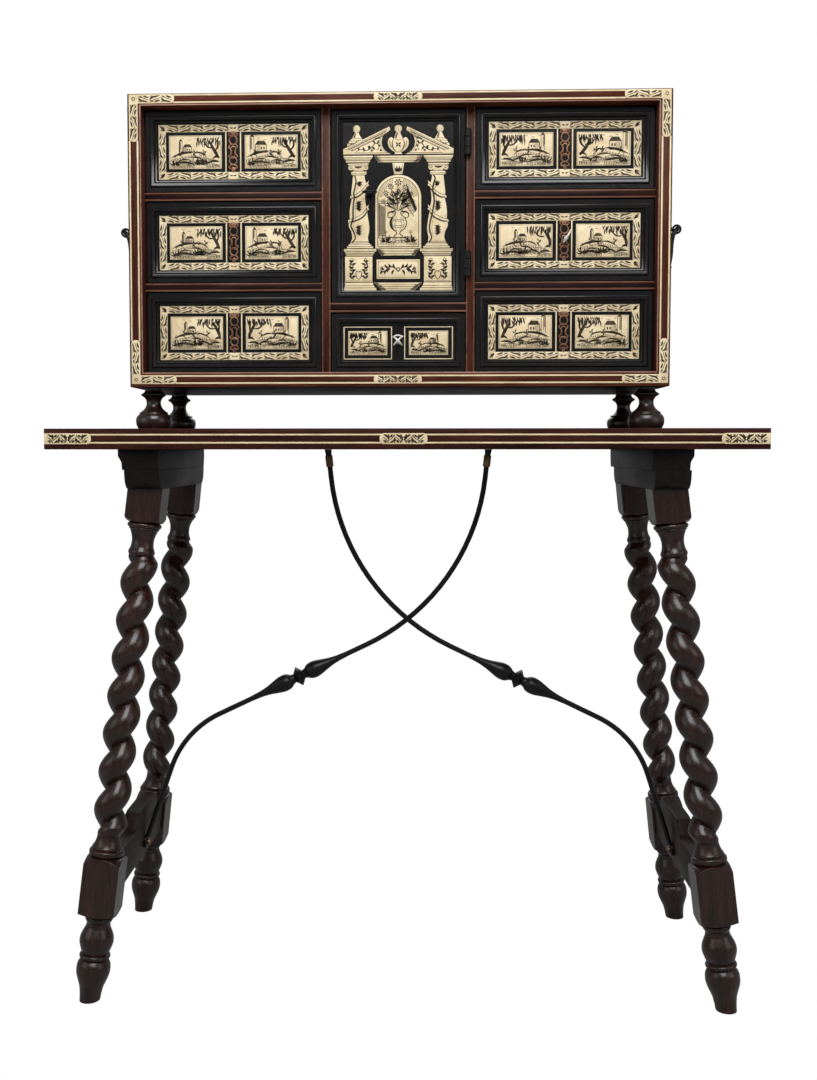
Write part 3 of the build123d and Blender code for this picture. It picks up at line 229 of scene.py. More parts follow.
def flowing(points: Path, steps: int = 6) -> list[tuple[float, ...]]:
    """Points along a smooth line through the given ones.

    Args:
        points: what the line goes through.
        steps: how many points each span gets.

    Returns:
        The points, first and last included.
    """
    ends = [[2 * a - b for a, b in zip(points[0], points[1])], *points,
            [2 * a - b for a, b in zip(points[-1], points[-2])]]
    line = []
    for p, q, r, s in zip(ends, ends[1:], ends[2:], ends[3:]):
        for step in range(steps):
            t = step / steps
            line.append(tuple(
                0.5 * (2 * b + (c - a) * t + (2 * a - 5 * b + 4 * c - d) * t * t
                       + (3 * b - a - 3 * c + d) * t ** 3)
                for a, b, c, d in zip(p, q, r, s)))
    return line + [tuple(points[-1])]


def lathe(profile: Sequence[Pair], steps: int = 48, tube: bool = False) -> Piece:
    """Spin a profile round the upright axis.

    Args:
        profile: radius and height of each point, from bottom to top.
        steps: how many facets the round gets.
        tube: join the profile's last point to its first instead of closing both ends at the axis.

    Returns:
        The closed turning, upright at the origin.
    """
    points = [(r, 0, h) for r, h in profile]
    edges = [(n, (n + 1) % len(points)) for n in range(len(points))]
    if not tube:
        points = [(0, 0, profile[0][1]), *points, (0, 0, profile[-1][1])]
        edges = [(n, n + 1) for n in range(len(points) - 1)]
    piece = blank(points, edges=edges)
    with editing(piece, "VERT"):
        bpy.ops.mesh.spin(steps=steps, angle=2 * math.pi, center=(0, 0, 0), axis=(0, 0, 1))
    return tidy_shell(piece)


def formed_grid(columns: int, rows: int, place: Callable[[float, float], Sequence[float]]) -> Piece:
    """A grid bent to shape.

    Args:
        columns: cells along u.
        rows: cells along v.
        place: where the point at u, v goes, both from 0 to 1.

    Returns:
        The new object, its doubled points merged.
    """
    clear_bench()
    bpy.ops.mesh.primitive_grid_add(x_subdivisions=columns, y_subdivisions=rows, size=1)
    piece = bpy.context.object
    for vertex in piece.data.vertices:
        vertex.co = place(vertex.co.x + 0.5, vertex.co.y + 0.5)
    return tidy_shell(piece)


def rod(path: Path, radius: float, sides: int = 3, closed: bool = False) -> Piece:
    """A round bar along a path.

    Args:
        path: the points of its middle line.
        radius: the bar's radius.
        sides: the curve's bevel resolution.
        closed: join its ends.

    Returns:
        The bar as a mesh.
    """
    clear_bench()
    curve = bpy.data.curves.new("rod", "CURVE")
    curve.dimensions = "3D"
    curve.bevel_depth = radius
    curve.bevel_resolution = sides
    curve.use_fill_caps = True
    spline = curve.splines.new("POLY")
    spline.points.add(len(path) - 1)
    for point, place in zip(spline.points, path):
        point.co = (*place, 1)
    spline.use_cyclic_u = closed
    piece = bpy.data.objects.new("rod", curve)
    bpy.context.scene.collection.objects.link(piece)
    take_up(piece)
    bpy.ops.object.convert(target="MESH")
    return tidy_shell(bpy.context.object)


def placed(piece: Piece, matrix: Matrix) -> Piece:
    """Move a piece's mesh, and turn its faces outwards again if that mirrors it."""
    piece.data.transform(matrix)
    piece.data.update()
    return tidy_shell(piece) if matrix.determinant() < 0 else piece


def copied(piece: Piece, matrix: Matrix) -> Piece:
    """A copy of a piece, with its own mesh, at another place."""
    twin = piece.copy()
    twin.data = piece.data.copy()
    bpy.context.scene.collection.objects.link(twin)
    return placed(twin, matrix)


def along(origin: Vector, axis: Vector, across: Vector) -> Matrix:
    """The place of a turning whose height runs along an axis, with its X towards across."""
    z = axis.normalized()
    x = (across - z * across.dot(z)).normalized()
    y = z.cross(x)
    return Matrix.Translation(origin) @ Matrix((x, y, z)).transposed().to_4x4()


def deliver(parts: Sequence[Piece], name: str, body: str, finish: "Finish", replaces: Sequence[str] = (),
            smooth: float = 35) -> Piece:
    """Join parts to one piece, bring it to metres, dress it and hang it on its body.

    Args:
        parts: the meshes, in millimetres.
        name: the piece's name.
        body: the body that it moves with.
        finish: what it is finished in.
        replaces: the frame's nodes that it stands for.
        smooth: the angle in degrees under which its faces shade as one.

    Returns:
        The finished piece.
    """
    piece = joined(parts)
    piece.name = name
    piece.data.name = name
    piece.data.transform(Matrix.Scale(MM, 4))
    piece.data.update()
    bpy.ops.object.shade_smooth_by_angle(angle=math.radians(smooth))
    piece.data.materials.clear()
    piece.data.materials.append(finish.material())
    if replaces:
        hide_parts(*replaces)
    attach(piece, body)
    LOG.info("%s: %d faces on %s", name, len(piece.data.polygons), body)
    return piece


# Shaders
class Signal:
    """A shader socket that is used like a number in an expression."""

    def __init__(self, sheet: "ShaderSheet", socket: bpy.types.NodeSocket) -> None:
        """Hold a socket and the sheet that it is on."""
        self.sheet = sheet
        self.socket = socket

    def _sum(self, operation: str, first: object, second: object) -> "Signal":
        """A Math node on two values."""
        return self.sheet.node("ShaderNodeMath", {"operation": operation}, {0: first, 1: second})

    def __add__(self, other: object) -> "Signal":
        """self + other."""
        return self._sum("ADD", self, other)

    def __sub__(self, other: object) -> "Signal":
        """self - other."""
        return self._sum("SUBTRACT", self, other)

    def __mul__(self, other: object) -> "Signal":
        """self * other."""
        return self._sum("MULTIPLY", self, other)


class ShaderSheet:
    """One material's nodes, laid out in code."""

    def __init__(self, name: str) -> None:
        """Start a material with a Principled shader."""
        self.material = bpy.data.materials.new(name)
        self.material.use_nodes = True
        self.tree = self.material.node_tree
        self.tree.nodes.clear()
        self.shader = self.tree.nodes.new("ShaderNodeBsdfPrincipled")
        out = self.tree.nodes.new("ShaderNodeOutputMaterial")
        self.tree.links.new(self.shader.outputs[0], out.inputs[0])

    def feed(self, socket: bpy.types.NodeSocket, value: object) -> None:
        """Give a socket a link or a constant."""
        if isinstance(value, Signal):
            self.tree.links.new(value.socket, socket)
        elif isinstance(value, (tuple, list)) and len(value) == 3 and socket.type == "RGBA":
            socket.default_value = (*value, 1)
        else:
            socket.default_value = value

    def node(self, kind: str, settings: Optional[dict] = None, inputs: Optional[dict] = None,
             output: int = 0) -> Signal:
        """Any node.

        Args:
            kind: its type.
            settings: its properties, and stops for a ramp.
            inputs: values or signals, by socket name or number.
            output: which output is returned.

        Returns:
            The output as a signal.
        """
        made = self.tree.nodes.new(kind)
        for name, value in (settings or {}).items():
            if name == "stops":
                ramp = made.color_ramp
                while len(ramp.elements) < len(value):
                    ramp.elements.new(0.5)
                for element, (place, colour) in zip(ramp.elements, value):
                    element.position = place
                    element.color = (*colour, 1)
            else:
                setattr(made, name, value)
        for name, value in (inputs or {}).items():
            self.feed(made.inputs[name], value)
        return Signal(self, made.outputs[output])

    def coords(self, scale: Sequence[float] = (1, 1, 1)) -> Signal:
        """Object coordinates, scaled."""
        place = self.node("ShaderNodeTexCoord", output=3)
        return self.node("ShaderNodeMapping", None, {"Vector": place, "Scale": scale})

    def noise(self, where: Signal, scale: float, detail: float = 3, rough: float = 0.55,
              warp: float = 0.0) -> Signal:
        """Noise from 0 to 1."""
        return self.node("ShaderNodeTexNoise", None, {
            "Vector": where, "Scale": scale, "Detail": detail, "Roughness": rough, "Distortion": warp})

    def ramp(self, value: Signal, *stops: tuple[float, Colour]) -> Signal:
        """A colour ramp."""
        return self.node("ShaderNodeValToRGB", {"stops": stops}, {0: value})

    def span(self, value: Signal, low: float, high: float) -> Signal:
        """A value stretched so that low gives 0 and high gives 1."""
        return self.node("ShaderNodeMapRange", {"clamp": True}, {0: value, 1: low, 2: high})

    def mix(self, share: object, first: object, second: object) -> Signal:
        """Two colours mixed."""
        return self.node("ShaderNodeMix", {"data_type": "RGBA"}, {0: share, 6: first, 7: second}, 2)

    def finish(self, colour: object, rough: object, bump: Optional[Signal] = None, depth: float = 0.0001,
               **constants: object) -> bpy.types.Material:
        """Feed the shader.

        Args:
            colour: base colour.
            rough: roughness.
            bump: height of the surface's relief.
            depth: how deep that relief is, in metres.
            constants: other sockets by name, with underscores for spaces.

        Returns:
            The material.
        """
        self.feed(self.shader.inputs["Base Color"], colour)
        self.feed(self.shader.inputs["Roughness"], rough)
        if bump is not None:
            normal = self.node("ShaderNodeBump", None, {"Strength": 1.0, "Distance": depth, "Height": bump})
            self.feed(self.shader.inputs["Normal"], normal)
        for name, value in constants.items():
            self.feed(self.shader.inputs[name.replace("_", " ")], value)
        return self.material


class Grain(Enum):
    """Which way the wood runs: how much its pattern is squeezed along X, Y and Z."""

    ALONG = (1.0, 14.0, 14.0)
    DEEP = (14.0, 1.0, 14.0)
    UPRIGHT = (14.0, 14.0, 1.0)


@dataclass(frozen=True)
class Finish:
    """A finish that builds its material once."""

    name: str
    slot: Optional[str] = None

    def material(self) -> bpy.types.Material:
        """The material, made at its first use."""
        title = f"dressed_{self.name}"
        return bpy.data.materials.get(title) or self.build(ShaderSheet(title))

    def build(self, sheet: ShaderSheet) -> bpy.types.Material:
        """Lay out the nodes on a new sheet."""
        raise NotImplementedError


@dataclass(frozen=True)
class Wood(Finish):
    """Figured wood under a thin polish."""

    dark: Colour = (0.03, 0.01, 0.006)
    middle: Colour = (0.1, 0.03, 0.018)
    light: Colour = (0.17, 0.06, 0.035)
    grain: Grain = Grain.ALONG
    rough: float = 0.34
    specular: float = 0.10
    pore: float = 0.5

    def build(self, sheet: ShaderSheet) -> bpy.types.Material:
        """Streaks of figure, fine dark pores and a slightly uneven polish."""
        where = sheet.coords(self.grain.value)
        figure = sheet.noise(where, 4.5, 5, 0.62, 0.9)
        streak = sheet.noise(where, 19, 3, 0.5, 0.4)
        fine = sheet.noise(where, 120, 2, 0.5)
        blotch = sheet.noise(sheet.coords(), 9, 2)
        tone = figure * 0.62 + streak * 0.38
        colour = sheet.ramp(tone, (0.34, self.dark), (0.5, self.middle), (0.66, self.light))
        pores = sheet.span(fine, 0.56, 0.72)
        colour = sheet.mix(pores * self.pore, colour, self.dark)
        colour = sheet.mix(sheet.span(blotch, 0.35, 0.75) * 0.35, colour, self.dark)
        rough = sheet.span(blotch, 0.2, 0.8) * 0.14 + (self.rough - 0.07) + pores * 0.08
        relief = streak * 0.6 - pores * 0.5
        return sheet.finish(colour, rough, relief, 0.00012, Specular_IOR_Level=self.specular)


@dataclass(frozen=True)
class Ebonised(Finish):
    """Blackened wood, satin, a little browner and duller in patches."""

    black: Colour = (0.0032, 0.0027, 0.0026)
    worn: Colour = (0.011, 0.0075, 0.0065)
    rough: float = 0.17
    specular: float = 0.5

    def build(self, sheet: ShaderSheet) -> bpy.types.Material:
        """Near-black with faint wear, brush marks and fine dents."""
        where = sheet.coords()
        wear = sheet.noise(where, 26, 4, 0.6)
        marks = sheet.noise(sheet.coords((6, 6, 6)), 55, 3, 0.6)
        colour = sheet.mix(sheet.span(wear, 0.48, 0.78), self.black, self.worn)
        rough = sheet.span(marks, 0.25, 0.75) * 0.12 + (self.rough - 0.06)
        return sheet.finish(colour, rough, marks * 0.5 + wear, 0.000015, Specular_IOR_Level=self.specular)


@dataclass(frozen=True)
class Bone(Finish):
    """Old polished bone: cream, with yellower patches, fine pores along its length and grime."""

    pale: Colour = (0.84, 0.71, 0.46)
    aged: Colour = (0.62, 0.46, 0.25)
    pore: Colour = (0.30, 0.20, 0.10)
    grain: Grain = Grain.ALONG

    def build(self, sheet: ShaderSheet) -> bpy.types.Material:
        """Patches of age, thin pores and a soft polish."""
        spot = sheet.coords()
        age = sheet.noise(spot, 38, 4, 0.6, 0.5)
        streak = sheet.noise(sheet.coords(self.grain.value), 48, 3, 0.6)
        pores = sheet.noise(sheet.coords(self.grain.value), 190, 2, 0.5)
        colour = sheet.mix(sheet.span(age, 0.42, 0.8), self.pale, self.aged)
        colour = sheet.mix(sheet.span(streak, 0.55, 0.8) * 0.5, colour, self.aged)
        colour = sheet.mix(sheet.span(pores, 0.63, 0.78) * 0.55, colour, self.pore)
        rough = sheet.span(age, 0.3, 0.8) * 0.2 + 0.34
        return sheet.finish(colour, rough, streak - sheet.span(pores, 0.6, 0.75) * 0.6, 0.00006,
                            Specular_IOR_Level=0.4)


@dataclass(frozen=True)
class Metal(Finish):
    """Worn metal, darker in patches of tarnish."""

    bright: Colour = (0.8, 0.6, 0.3)
    dull: Colour = (0.3, 0.18, 0.08)
    rough: float = 0.32
    metallic: float = 1.0
    spread: float = 90
    relief: float = 0.0001
    specular: float = 0.5

    def build(self, sheet: ShaderSheet) -> bpy.types.Material:
        """Tarnish in patches over small hammer marks."""
        where = sheet.coords()
        tarnish = sheet.noise(where, self.spread, 4, 0.6)
        dents = sheet.noise(where, self.spread * 3, 2, 0.5)
        colour = sheet.mix(sheet.span(tarnish, 0.4, 0.7), self.bright, self.dull)
        rough = sheet.span(tarnish, 0.3, 0.8) * 0.25 + (self.rough - 0.1)
        return sheet.finish(colour, rough, dents + tarnish, self.relief, Metallic=self.metallic,
                            Specular_IOR_Level=self.specular)


@dataclass(frozen=True)
class Ink(Finish):
    """Black mastic rubbed into the engraving."""

    black: Colour = (0.012, 0.009, 0.007)
    brown: Colour = (0.085, 0.055, 0.03)

    def build(self, sheet: ShaderSheet) -> bpy.types.Material:
        """Dark, a little browner where it has worn thin."""
        wear = sheet.noise(sheet.coords(), 150, 3, 0.6)
        colour = sheet.mix(sheet.span(wear, 0.35, 0.7), self.black, self.brown)
        return sheet.finish(colour, wear * 0.2 + 0.5, None, Specular_IOR_Level=0.25)


ROSEWOOD = Wood("rosewood_along", "rosewood", (0.026, 0.006, 0.003), (0.085, 0.022, 0.011), (0.16, 0.052, 0.028))
ROSEWOOD_UP = Wood("rosewood_upright", "rosewood", (0.022, 0.006, 0.003), (0.072, 0.019, 0.010),
                   (0.13, 0.042, 0.023), Grain.UPRIGHT)
TABLE_WOOD = Wood("table_rosewood", "rosewood", (0.014, 0.004, 0.003), (0.043, 0.013, 0.009),
                  (0.075, 0.024, 0.016), rough=0.3)
LEG_WOOD = Wood("turned_leg_wood", "leg_wood", (0.005, 0.0016, 0.001), (0.020, 0.006, 0.0035), (0.045, 0.014, 0.008),
                Grain.UPRIGHT, rough=0.24, specular=0.5)
# Stained near-black wood of the battens and head rails. The same material also paints shade on the case bottom's
# downward faces.
RAIL_WOOD_AND_UNDERSIDE_SHADE = Wood("stained_rail_wood_and_underside_shade", "leg_wood", (0.003, 0.0022, 0.002), (0.008, 0.0055, 0.0045),
                 (0.016, 0.010, 0.008), Grain.DEEP, rough=0.45, specular=0.2)
# Wood of the drawer rails, kept far darker than the partitions' CARCASS_UP: painted shade on the rails between the
# drawers.
SHADE_PAINTED_CARCASS_WOOD = Wood("carcass_wood_along_painted_shade", "carcass_wood", (0.006, 0.002, 0.0015), (0.019, 0.0065, 0.005),
                    (0.036, 0.014, 0.011))
CARCASS_UP = Wood("carcass_wood_upright", "carcass_wood", (0.026, 0.008, 0.005), (0.072, 0.022, 0.014),
                  (0.11, 0.038, 0.026), Grain.UPRIGHT)
BACK_WOOD = Wood("back_wood", "carcass_wood", (0.05, 0.022, 0.012), (0.11, 0.05, 0.026), (0.17, 0.085, 0.045),
                 rough=0.6, specular=0.25, pore=0.4)
LINING_WOOD = Wood("lining_wood", "drawer_lining_wood", (0.16, 0.075, 0.032), (0.30, 0.16, 0.075),
                   (0.42, 0.25, 0.13), Grain.DEEP, rough=0.62, specular=0.25, pore=0.4)
FILLET_WOOD = Wood("fillet_wood", "carcass_wood", (0.09, 0.035, 0.022), (0.17, 0.078, 0.05), (0.26, 0.14, 0.095),
                   rough=0.4, pore=0.3)
EBONY = Ebonised("ebonised_wood", "ebonised_wood")
FOOT_EBONY = Wood("foot_wood", "ebonised_wood", (0.006, 0.003, 0.003), (0.02, 0.008, 0.006),
                  (0.04, 0.015, 0.011), Grain.UPRIGHT, rough=0.25, specular=0.6)
BONE = Bone("bone_along", "bone")
BONE_UP = Bone("bone_upright", "bone", grain=Grain.UPRIGHT)
INK = Ink("engraver_black")
BRASS = Metal("gilt_brass", "gilt_brass", (0.40, 0.20, 0.11), (0.10, 0.042, 0.024), 0.36, 0.6)
OLD_BRASS = Metal("old_brass", "dull_brass", (0.30, 0.20, 0.09), (0.08, 0.05, 0.03), 0.42)
IRON = Metal("forged_iron", "forged_iron", (0.007, 0.0066, 0.007), (0.003, 0.0028, 0.0028), 0.36, 0.02, 120,
             0.00015, 0.25)
STEEL = Metal("bright_steel", "bright_steel", (0.92, 0.90, 0.86), (0.6, 0.57, 0.53), 0.3, 0.35)


# The engraver
class Burin:
    """The engraver's tool: dark tapering strokes and leaves let into a front face."""

    def __init__(self, y: float, seed: int = 0) -> None:
        """Start on a face at depth y, with a seed for what varies by hand."""
        self.y = y
        self.hand = random.Random(seed)
        self.points: list[tuple[float, float, float]] = []
        self.faces: list[list[int]] = []

    def patch(self, outline: Sequence[Pair]) -> None:
        """A filled area, its corners in order."""
        start = len(self.points)
        self.points += [(x, self.y, z) for x, z in outline]
        self.faces.append(list(range(start, start + len(outline))))

    def stroke(self, path: Sequence[Pair], width: float, ends: float = 0.15, steps: int = 5) -> None:
        """A line that swells and tapers.

        Args:
            path: the points that it passes through.
            width: its width at the middle.
            ends: its width at its ends, as a share of that.
            steps: points per span.
        """
        line = flowing(path, steps) if len(path) > 2 else list(path)
        start = len(self.points)
        last = len(line) - 1
        for n, (x, z) in enumerate(line):
            before, after = line[max(0, n - 1)], line[min(last, n + 1)]
            dx, dz = after[0] - before[0], after[1] - before[1]
            length = math.hypot(dx, dz) or 1
            half = width / 2 * (ends + (1 - ends) * math.sin(math.pi * n / last) ** 0.7 if last > 1 else 1)
            self.points += [(x - dz / length * half, self.y, z + dx / length * half),
                            (x + dz / length * half, self.y, z - dx / length * half)]
        for n in range(last):
            a = start + 2 * n
            self.faces.append([a, a + 1, a + 3, a + 2])

    def leaf(self, base: Pair, tip: Pair, belly: float, sway: float = 0.0) -> None:
        """A filled leaf.

        Args:
            base: where it starts.
            tip: where it ends.
            belly: half its width.
            sway: how far it bends to its left.
        """
        dx, dz = tip[0] - base[0], tip[1] - base[1]
        length = math.hypot(dx, dz) or 1
        nx, nz = -dz / length, dx / length
        sides: list[list[Pair]] = [[], []]
        for t in (0, 0.2, 0.45, 0.7, 0.88, 1):
            spine = math.sin(math.pi * t) * sway
            half = belly * math.sin(math.pi * t ** 0.8) ** 0.9 if 0 < t < 1 else 0.0
            for side, way in zip(sides, (1, -1)):
                off = spine + way * half
                side.append((base[0] + dx * t + nx * off, base[1] + dz * t + nz * off))
        self.patch(sides[0] + sides[1][-2:0:-1])

    def frame(self, x0: float, x1: float, z0: float, z1: float, width: float) -> None:
        """A thin rectangle of lines."""
        for a, b in (((x0, z0), (x1, z0)), ((x1, z0), (x1, z1)), ((x1, z1), (x0, z1)), ((x0, z1), (x0, z0))):
            self.stroke((a, b), width, 1)

    def hatch(self, start: Pair, end: Pair, reach: Pair, lines: int, width: float = 0.3) -> None:
        """Parallel shading strokes, set between two points and each as long as reach."""
        for n in range(lines):
            t = n / max(1, lines - 1)
            x = start[0] + (end[0] - start[0]) * t
            z = start[1] + (end[1] - start[1]) * t
            long = self.hand.uniform(0.65, 1.1)
            self.stroke(((x, z), (x + reach[0] * long, z + reach[1] * long)), width, 1)

    def scroll(self, start: Pair, end: Pair, half: float, units: int, flip: int = 1) -> None:
        """A running band of leaves on a waving stem.

        Args:
            start: where the band's middle line starts.
            end: where it ends.
            half: half the band's height.
            units: how many waves it has.
            flip: 1 or -1, the side of the first leaf.
        """
        dx, dz = end[0] - start[0], end[1] - start[1]
        length = math.hypot(dx, dz)
        ux, uz = dx / length, dz / length
        pitch = length / units

        def at(u: float, v: float) -> Pair:
            """A point on the band from shares of a wave and of its half height."""
            return (start[0] + ux * u * pitch - uz * v * half, start[1] + uz * u * pitch + ux * v * half)

        leaves = ((0.02, -0.3, 0.5, 0.86, 0.32, 0.2), (0.34, 0.3, 0.94, 0.92, 0.24, 0.16),
                  (0.42, -0.94, 1.0, -0.42, 0.28, 0.16))
        stems = ((0.19, 0.6, (-0.02, -0.5), (0.3, -0.42), (0.6, -0.02), (1.0, 0.34)),
                 (0.26, 0.4, (0.06, -0.9), (0.2, -0.72), (0.36, -0.66)),
                 (0.22, 0.4, (0.02, 0.52), (0.1, 0.8), (0.24, 0.96)))
        for unit in range(units):
            way = flip if unit % 2 == 0 else -flip
            for a, b, c, d, belly, sway in leaves:
                self.leaf(at(unit + a, b * way), at(unit + c, d * way), half * belly, way * half * sway)
            for width, ends, *stem in stems:
                self.stroke([at(unit + a, b * way) for a, b in stem], half * width, ends)

    def bank(self, x0: float, x1: float, level: float, depth: float, lean: float) -> None:
        """A rise of the ground: its crest and the shading that falls from it."""
        middle = (x0 + x1) / 2
        self.stroke(((x0, level - 1.2), ((x0 + middle) / 2, level + 0.8), (middle, level + 1.2),
                     ((x1 + middle) / 2, level + 0.5), (x1, level - 1.0)), 0.8, 0.4)
        count = max(3, int((x1 - x0) / 1.05))
        for n in range(count):
            rise = math.sin(math.pi * (n + 0.5) / count)
            if self.hand.random() < 0.16:
                continue
            x, top = x0 + (x1 - x0) * (n + 0.5) / count, level - 1.7 + 2.3 * rise
            long = depth * (0.35 + 0.65 * rise) * self.hand.uniform(0.7, 1.0)
            self.stroke(((x, top), (x + lean * long, top - long)), 0.45, 1)

    def house(self, foot: Pair, size: float, way: int) -> None:
        """A gabled house with a tower, shaded on its far side."""
        wide, high = size * 0.62, size * 0.42
        base, top = wide + size * 0.08, size * 0.86

        def at(a: float, b: float) -> Pair:
            """A point from how far it lies beyond the foot and above it."""
            return (foot[0] + way * a, foot[1] + b)

        for a, b, c, d, width in ((0, 0, 0, high, 0.8), (wide, 0, wide, high, 0.8), (0, 0, wide, 0, 0.9)):
            self.stroke((at(a, b), at(c, d)), width, 1)
        self.patch([at(-0.8, high), at(wide + 0.8, high), at(wide * 0.8, high * 1.55), at(wide * 0.2, high * 1.55)])
        self.hatch(at(wide * 0.62, high * 0.94), at(wide - 0.4, high * 0.94), (0, -high * 0.85), 4, 0.75)
        for a, b in ((wide * 0.16, wide * 0.29), (wide * 0.4, wide * 0.53)):
            self.patch([at(a, high * 0.4), at(b, high * 0.4), at(b, high * 0.75), at(a, high * 0.75)])
        for a in (base, base + size * 0.22):
            self.stroke((at(a, 0), at(a, top)), 0.8, 1)
        self.patch([at(base - 0.6, top), at(base + size * 0.22 + 0.6, top), at(base + size * 0.11, top + size * 0.2)])
        self.hatch(at(base + size * 0.12, top - 0.5), at(base + size * 0.2, top - 0.5), (0, -size * 0.7), 3, 0.7)

    def shrub(self, foot: Pair, size: float, leaves: int) -> None:
        """A plant of arching leaves with a flower."""
        x, z = foot
        for n in range(leaves):
            angle = math.radians(162 - 144 * n / max(1, leaves - 1) + self.hand.uniform(-7, 7))
            long = size * self.hand.uniform(0.6, 1.0)
            tip = (x + math.cos(angle) * long, z + math.sin(angle) * long)
            self.leaf(foot, tip, size * 0.095, (-1 if math.cos(angle) > 0 else 1) * long * 0.13)
        top = (x + self.hand.uniform(-0.12, 0.12) * size, z + size * 1.12)
        self.stroke((foot, ((x + top[0]) / 2 + 0.5, z + size * 0.6), top), 0.4, 0.6)
        self.flower(top, size * 0.17)

    def flower(self, centre: Pair, size: float, petals: int = 6) -> None:
        """An open flower of small petals round an eye."""
        for n in range(petals):
            angle = 2 * math.pi * (n + 0.3) / petals
            base, tip = [(centre[0] + math.cos(angle) * size * out, centre[1] + math.sin(angle) * size * out)
                         for out in (0.4, 1.25)]
            self.leaf(base, tip, size * 0.27)

    def ground(self, x0: float, x1: float, z: float, height: float) -> None:
        """Rolling, shaded ground with grass."""
        span = x1 - x0
        for share, long, lift, lean in ((0.0, 0.42, 0.34, 0.5), (0.36, 0.4, 0.5, -0.4), (0.7, 0.3, 0.3, 0.5),
                                        (0.14, 0.34, 0.9, -0.3), (0.55, 0.38, 0.95, 0.3)):
            a = x0 + span * share
            self.bank(a, min(x1, a + span * long), z + height * lift, height * 0.42, lean)
        for n in range(7):
            x = x0 + span * self.hand.uniform(0.05, 0.95)
            level = z + height * self.hand.uniform(0.1, 0.9)
            for lean in (-1.1, -0.3, 0.9):
                self.leaf((x, level), (x + lean, level + 2.8), 0.34, 0.2)

    def landscape(self, x: float, z: float, width: float, height: float) -> None:
        """A small view: a great tree over a bank, a castle on a slope, plants and birds."""
        left, right = x - width / 2 + 2, x + width / 2 - 2
        low, high = z - height / 2 + 2, z + height / 2 - 2
        self.frame(left - 0.7, right + 0.7, low - 0.7, high + 0.7, 0.4)
        way = self.hand.choice((-1, 1))
        near = left if way > 0 else right

        def at(a: float, b: float) -> Pair:
            """A point of the view from shares of its width and height."""
            return (near + way * (right - left) * a, low + (high - low) * b)

        self.ground(left + 0.5, right - 0.5, low + 0.2, height * 0.24)
        stir = self.hand.uniform(-0.07, 0.07)
        build = self.hand.uniform(0.36, 0.6)
        for a, b, c, d, thick in ((0.0, 0.18, 0.3, 0.08, 0.0375), (0.2, 0.1, 0.5, 0.2, 0.03),
                                  (0.5, 0.08, 0.97, 0.13, 0.0375), (0.5, 0.5, 1.0, 0.3, 0.04125),
                                  (0.27, 0.38, 0.56, 0.46, 0.02625), (0.0, 0.32, 0.16, 0.25, 0.0375),
                                  (0.34, 0.24, 0.66, 0.3, 0.02625), (0.6, 0.24, 0.86, 0.16, 0.0225)):
            self.leaf(at(a, b + stir * 0.6), at(c + stir * 0.4, d), height * thick, way * height * 0.06)
        for a, b, c, d in ((0.02, 0.1, 0.26, 0.04), (0.54, 0.44, 0.98, 0.26), (0.3, 0.36, 0.52, 0.4),
                           (0.36, 0.2, 0.62, 0.22), (0.52, 0.06, 0.94, 0.07)):
            self.hatch(at(a, b), at(c, d), (way * 1.1, -height * 0.09), int(abs(c - a) * width / 2.1), 0.8)
        root, elbow, fork = at(0.03, 0.3), at(0.09 + stir, 0.52), at(0.2 + stir, 0.84)
        for bough, thick in (((root, elbow, fork), 0.1), ((elbow, at(0.05, 0.7), at(0.07, 0.9)), 0.06),
                             ((at(0.13, 0.64), at(0.24, 0.66), at(0.33, 0.82)), 0.05)):
            self.stroke(bough, height * thick, 0.5)
        for n in range(26):
            a = 0.01 + 0.44 * (n // 2) / 12 + self.hand.uniform(-0.01, 0.01)
            b = 0.995 - 0.1 * (n % 2)
            tip = at(a + self.hand.uniform(-0.02, 0.05), b - self.hand.uniform(0.12, 0.28))
            self.leaf(at(a, b), tip, 1.05, way * 0.6)
        self.house(at(0.56 + stir, 0.47), height * build, way)
        for share in (0.3 + stir, 0.52 - stir, 0.78 + stir):
            stalk = (at(share - 0.05, 0.3), at(share + 0.02, 0.44 + stir), at(share - 0.015, 0.56 - share * 0.1))
            self.stroke(stalk, 1.3, 0.3)
            for lift, out in ((0.38, 0.05), (0.44, -0.05), (0.5, 0.035)):
                self.leaf(at(share, lift), at(share + out, lift + 0.1), 0.95, 0.6)
        self.shrub(at(0.9, 0.08), height * 0.24, 6)
        self.shrub(at(0.43 - stir * 2, 0.1), height * (0.72 - build) * 0.9, 6)
        for n in range(3):
            bx, bz = at(0.5 + 0.13 * n, 0.93 - 0.05 * (n % 2))
            wings = ((-2.4, 0.6), (-0.8, 0.9), (0, 0), (1, 0.9), (2.4, 0.5))
            self.stroke([(bx + a, bz + b) for a, b in wings], 0.6)

    def piece(self, name: str, body: str) -> Piece:
        """Give the cuts a little depth and deliver them."""
        piece = blank(self.points, faces=self.faces)
        modify(piece, "SOLIDIFY", thickness=0.3, offset=0)
        piece.data.transform(Matrix.Translation((0, 0.15 - INK_RISE, 0)))
        return deliver([piece], name, body, INK)


def blunt_plate(x: float, z: float, length: float, height: float, y: float,
                round_ends: tuple[bool, bool] = (True, True)) -> Piece:
    """A bone plaque whose ends are rounded or square.

    Args:
        x, z: its middle.
        length, height: its size.
        y: the depth of its face.
        round_ends: whether its left and right ends are rounded.

    Returns:
        The new object.
    """
    half, up = length / 2, height / 2
    bend = up * 0.75
    outline: list[Pair] = []
    for way, rounded in ((1, round_ends[1]), (-1, round_ends[0])):
        if rounded:
            turns = [math.radians(-90 + 180 * n / 10) for n in range(11)]
            outline += [(x + way * (half - bend + math.cos(a) * bend), z + way * math.sin(a) * up) for a in turns]
        else:
            outline += [(x + way * half, z - way * up), (x + way * half, z + way * up)]
    return plate(outline, y, 1.2, 0.15)


def bone_line(x0: float, x1: float, z0: float, z1: float, front: float) -> Piece:
    """A thin strip let into a front edge."""
    return block((x0, front - BONE_RISE + 0.1, z0), (x1, front + 1, z1), 0.15)


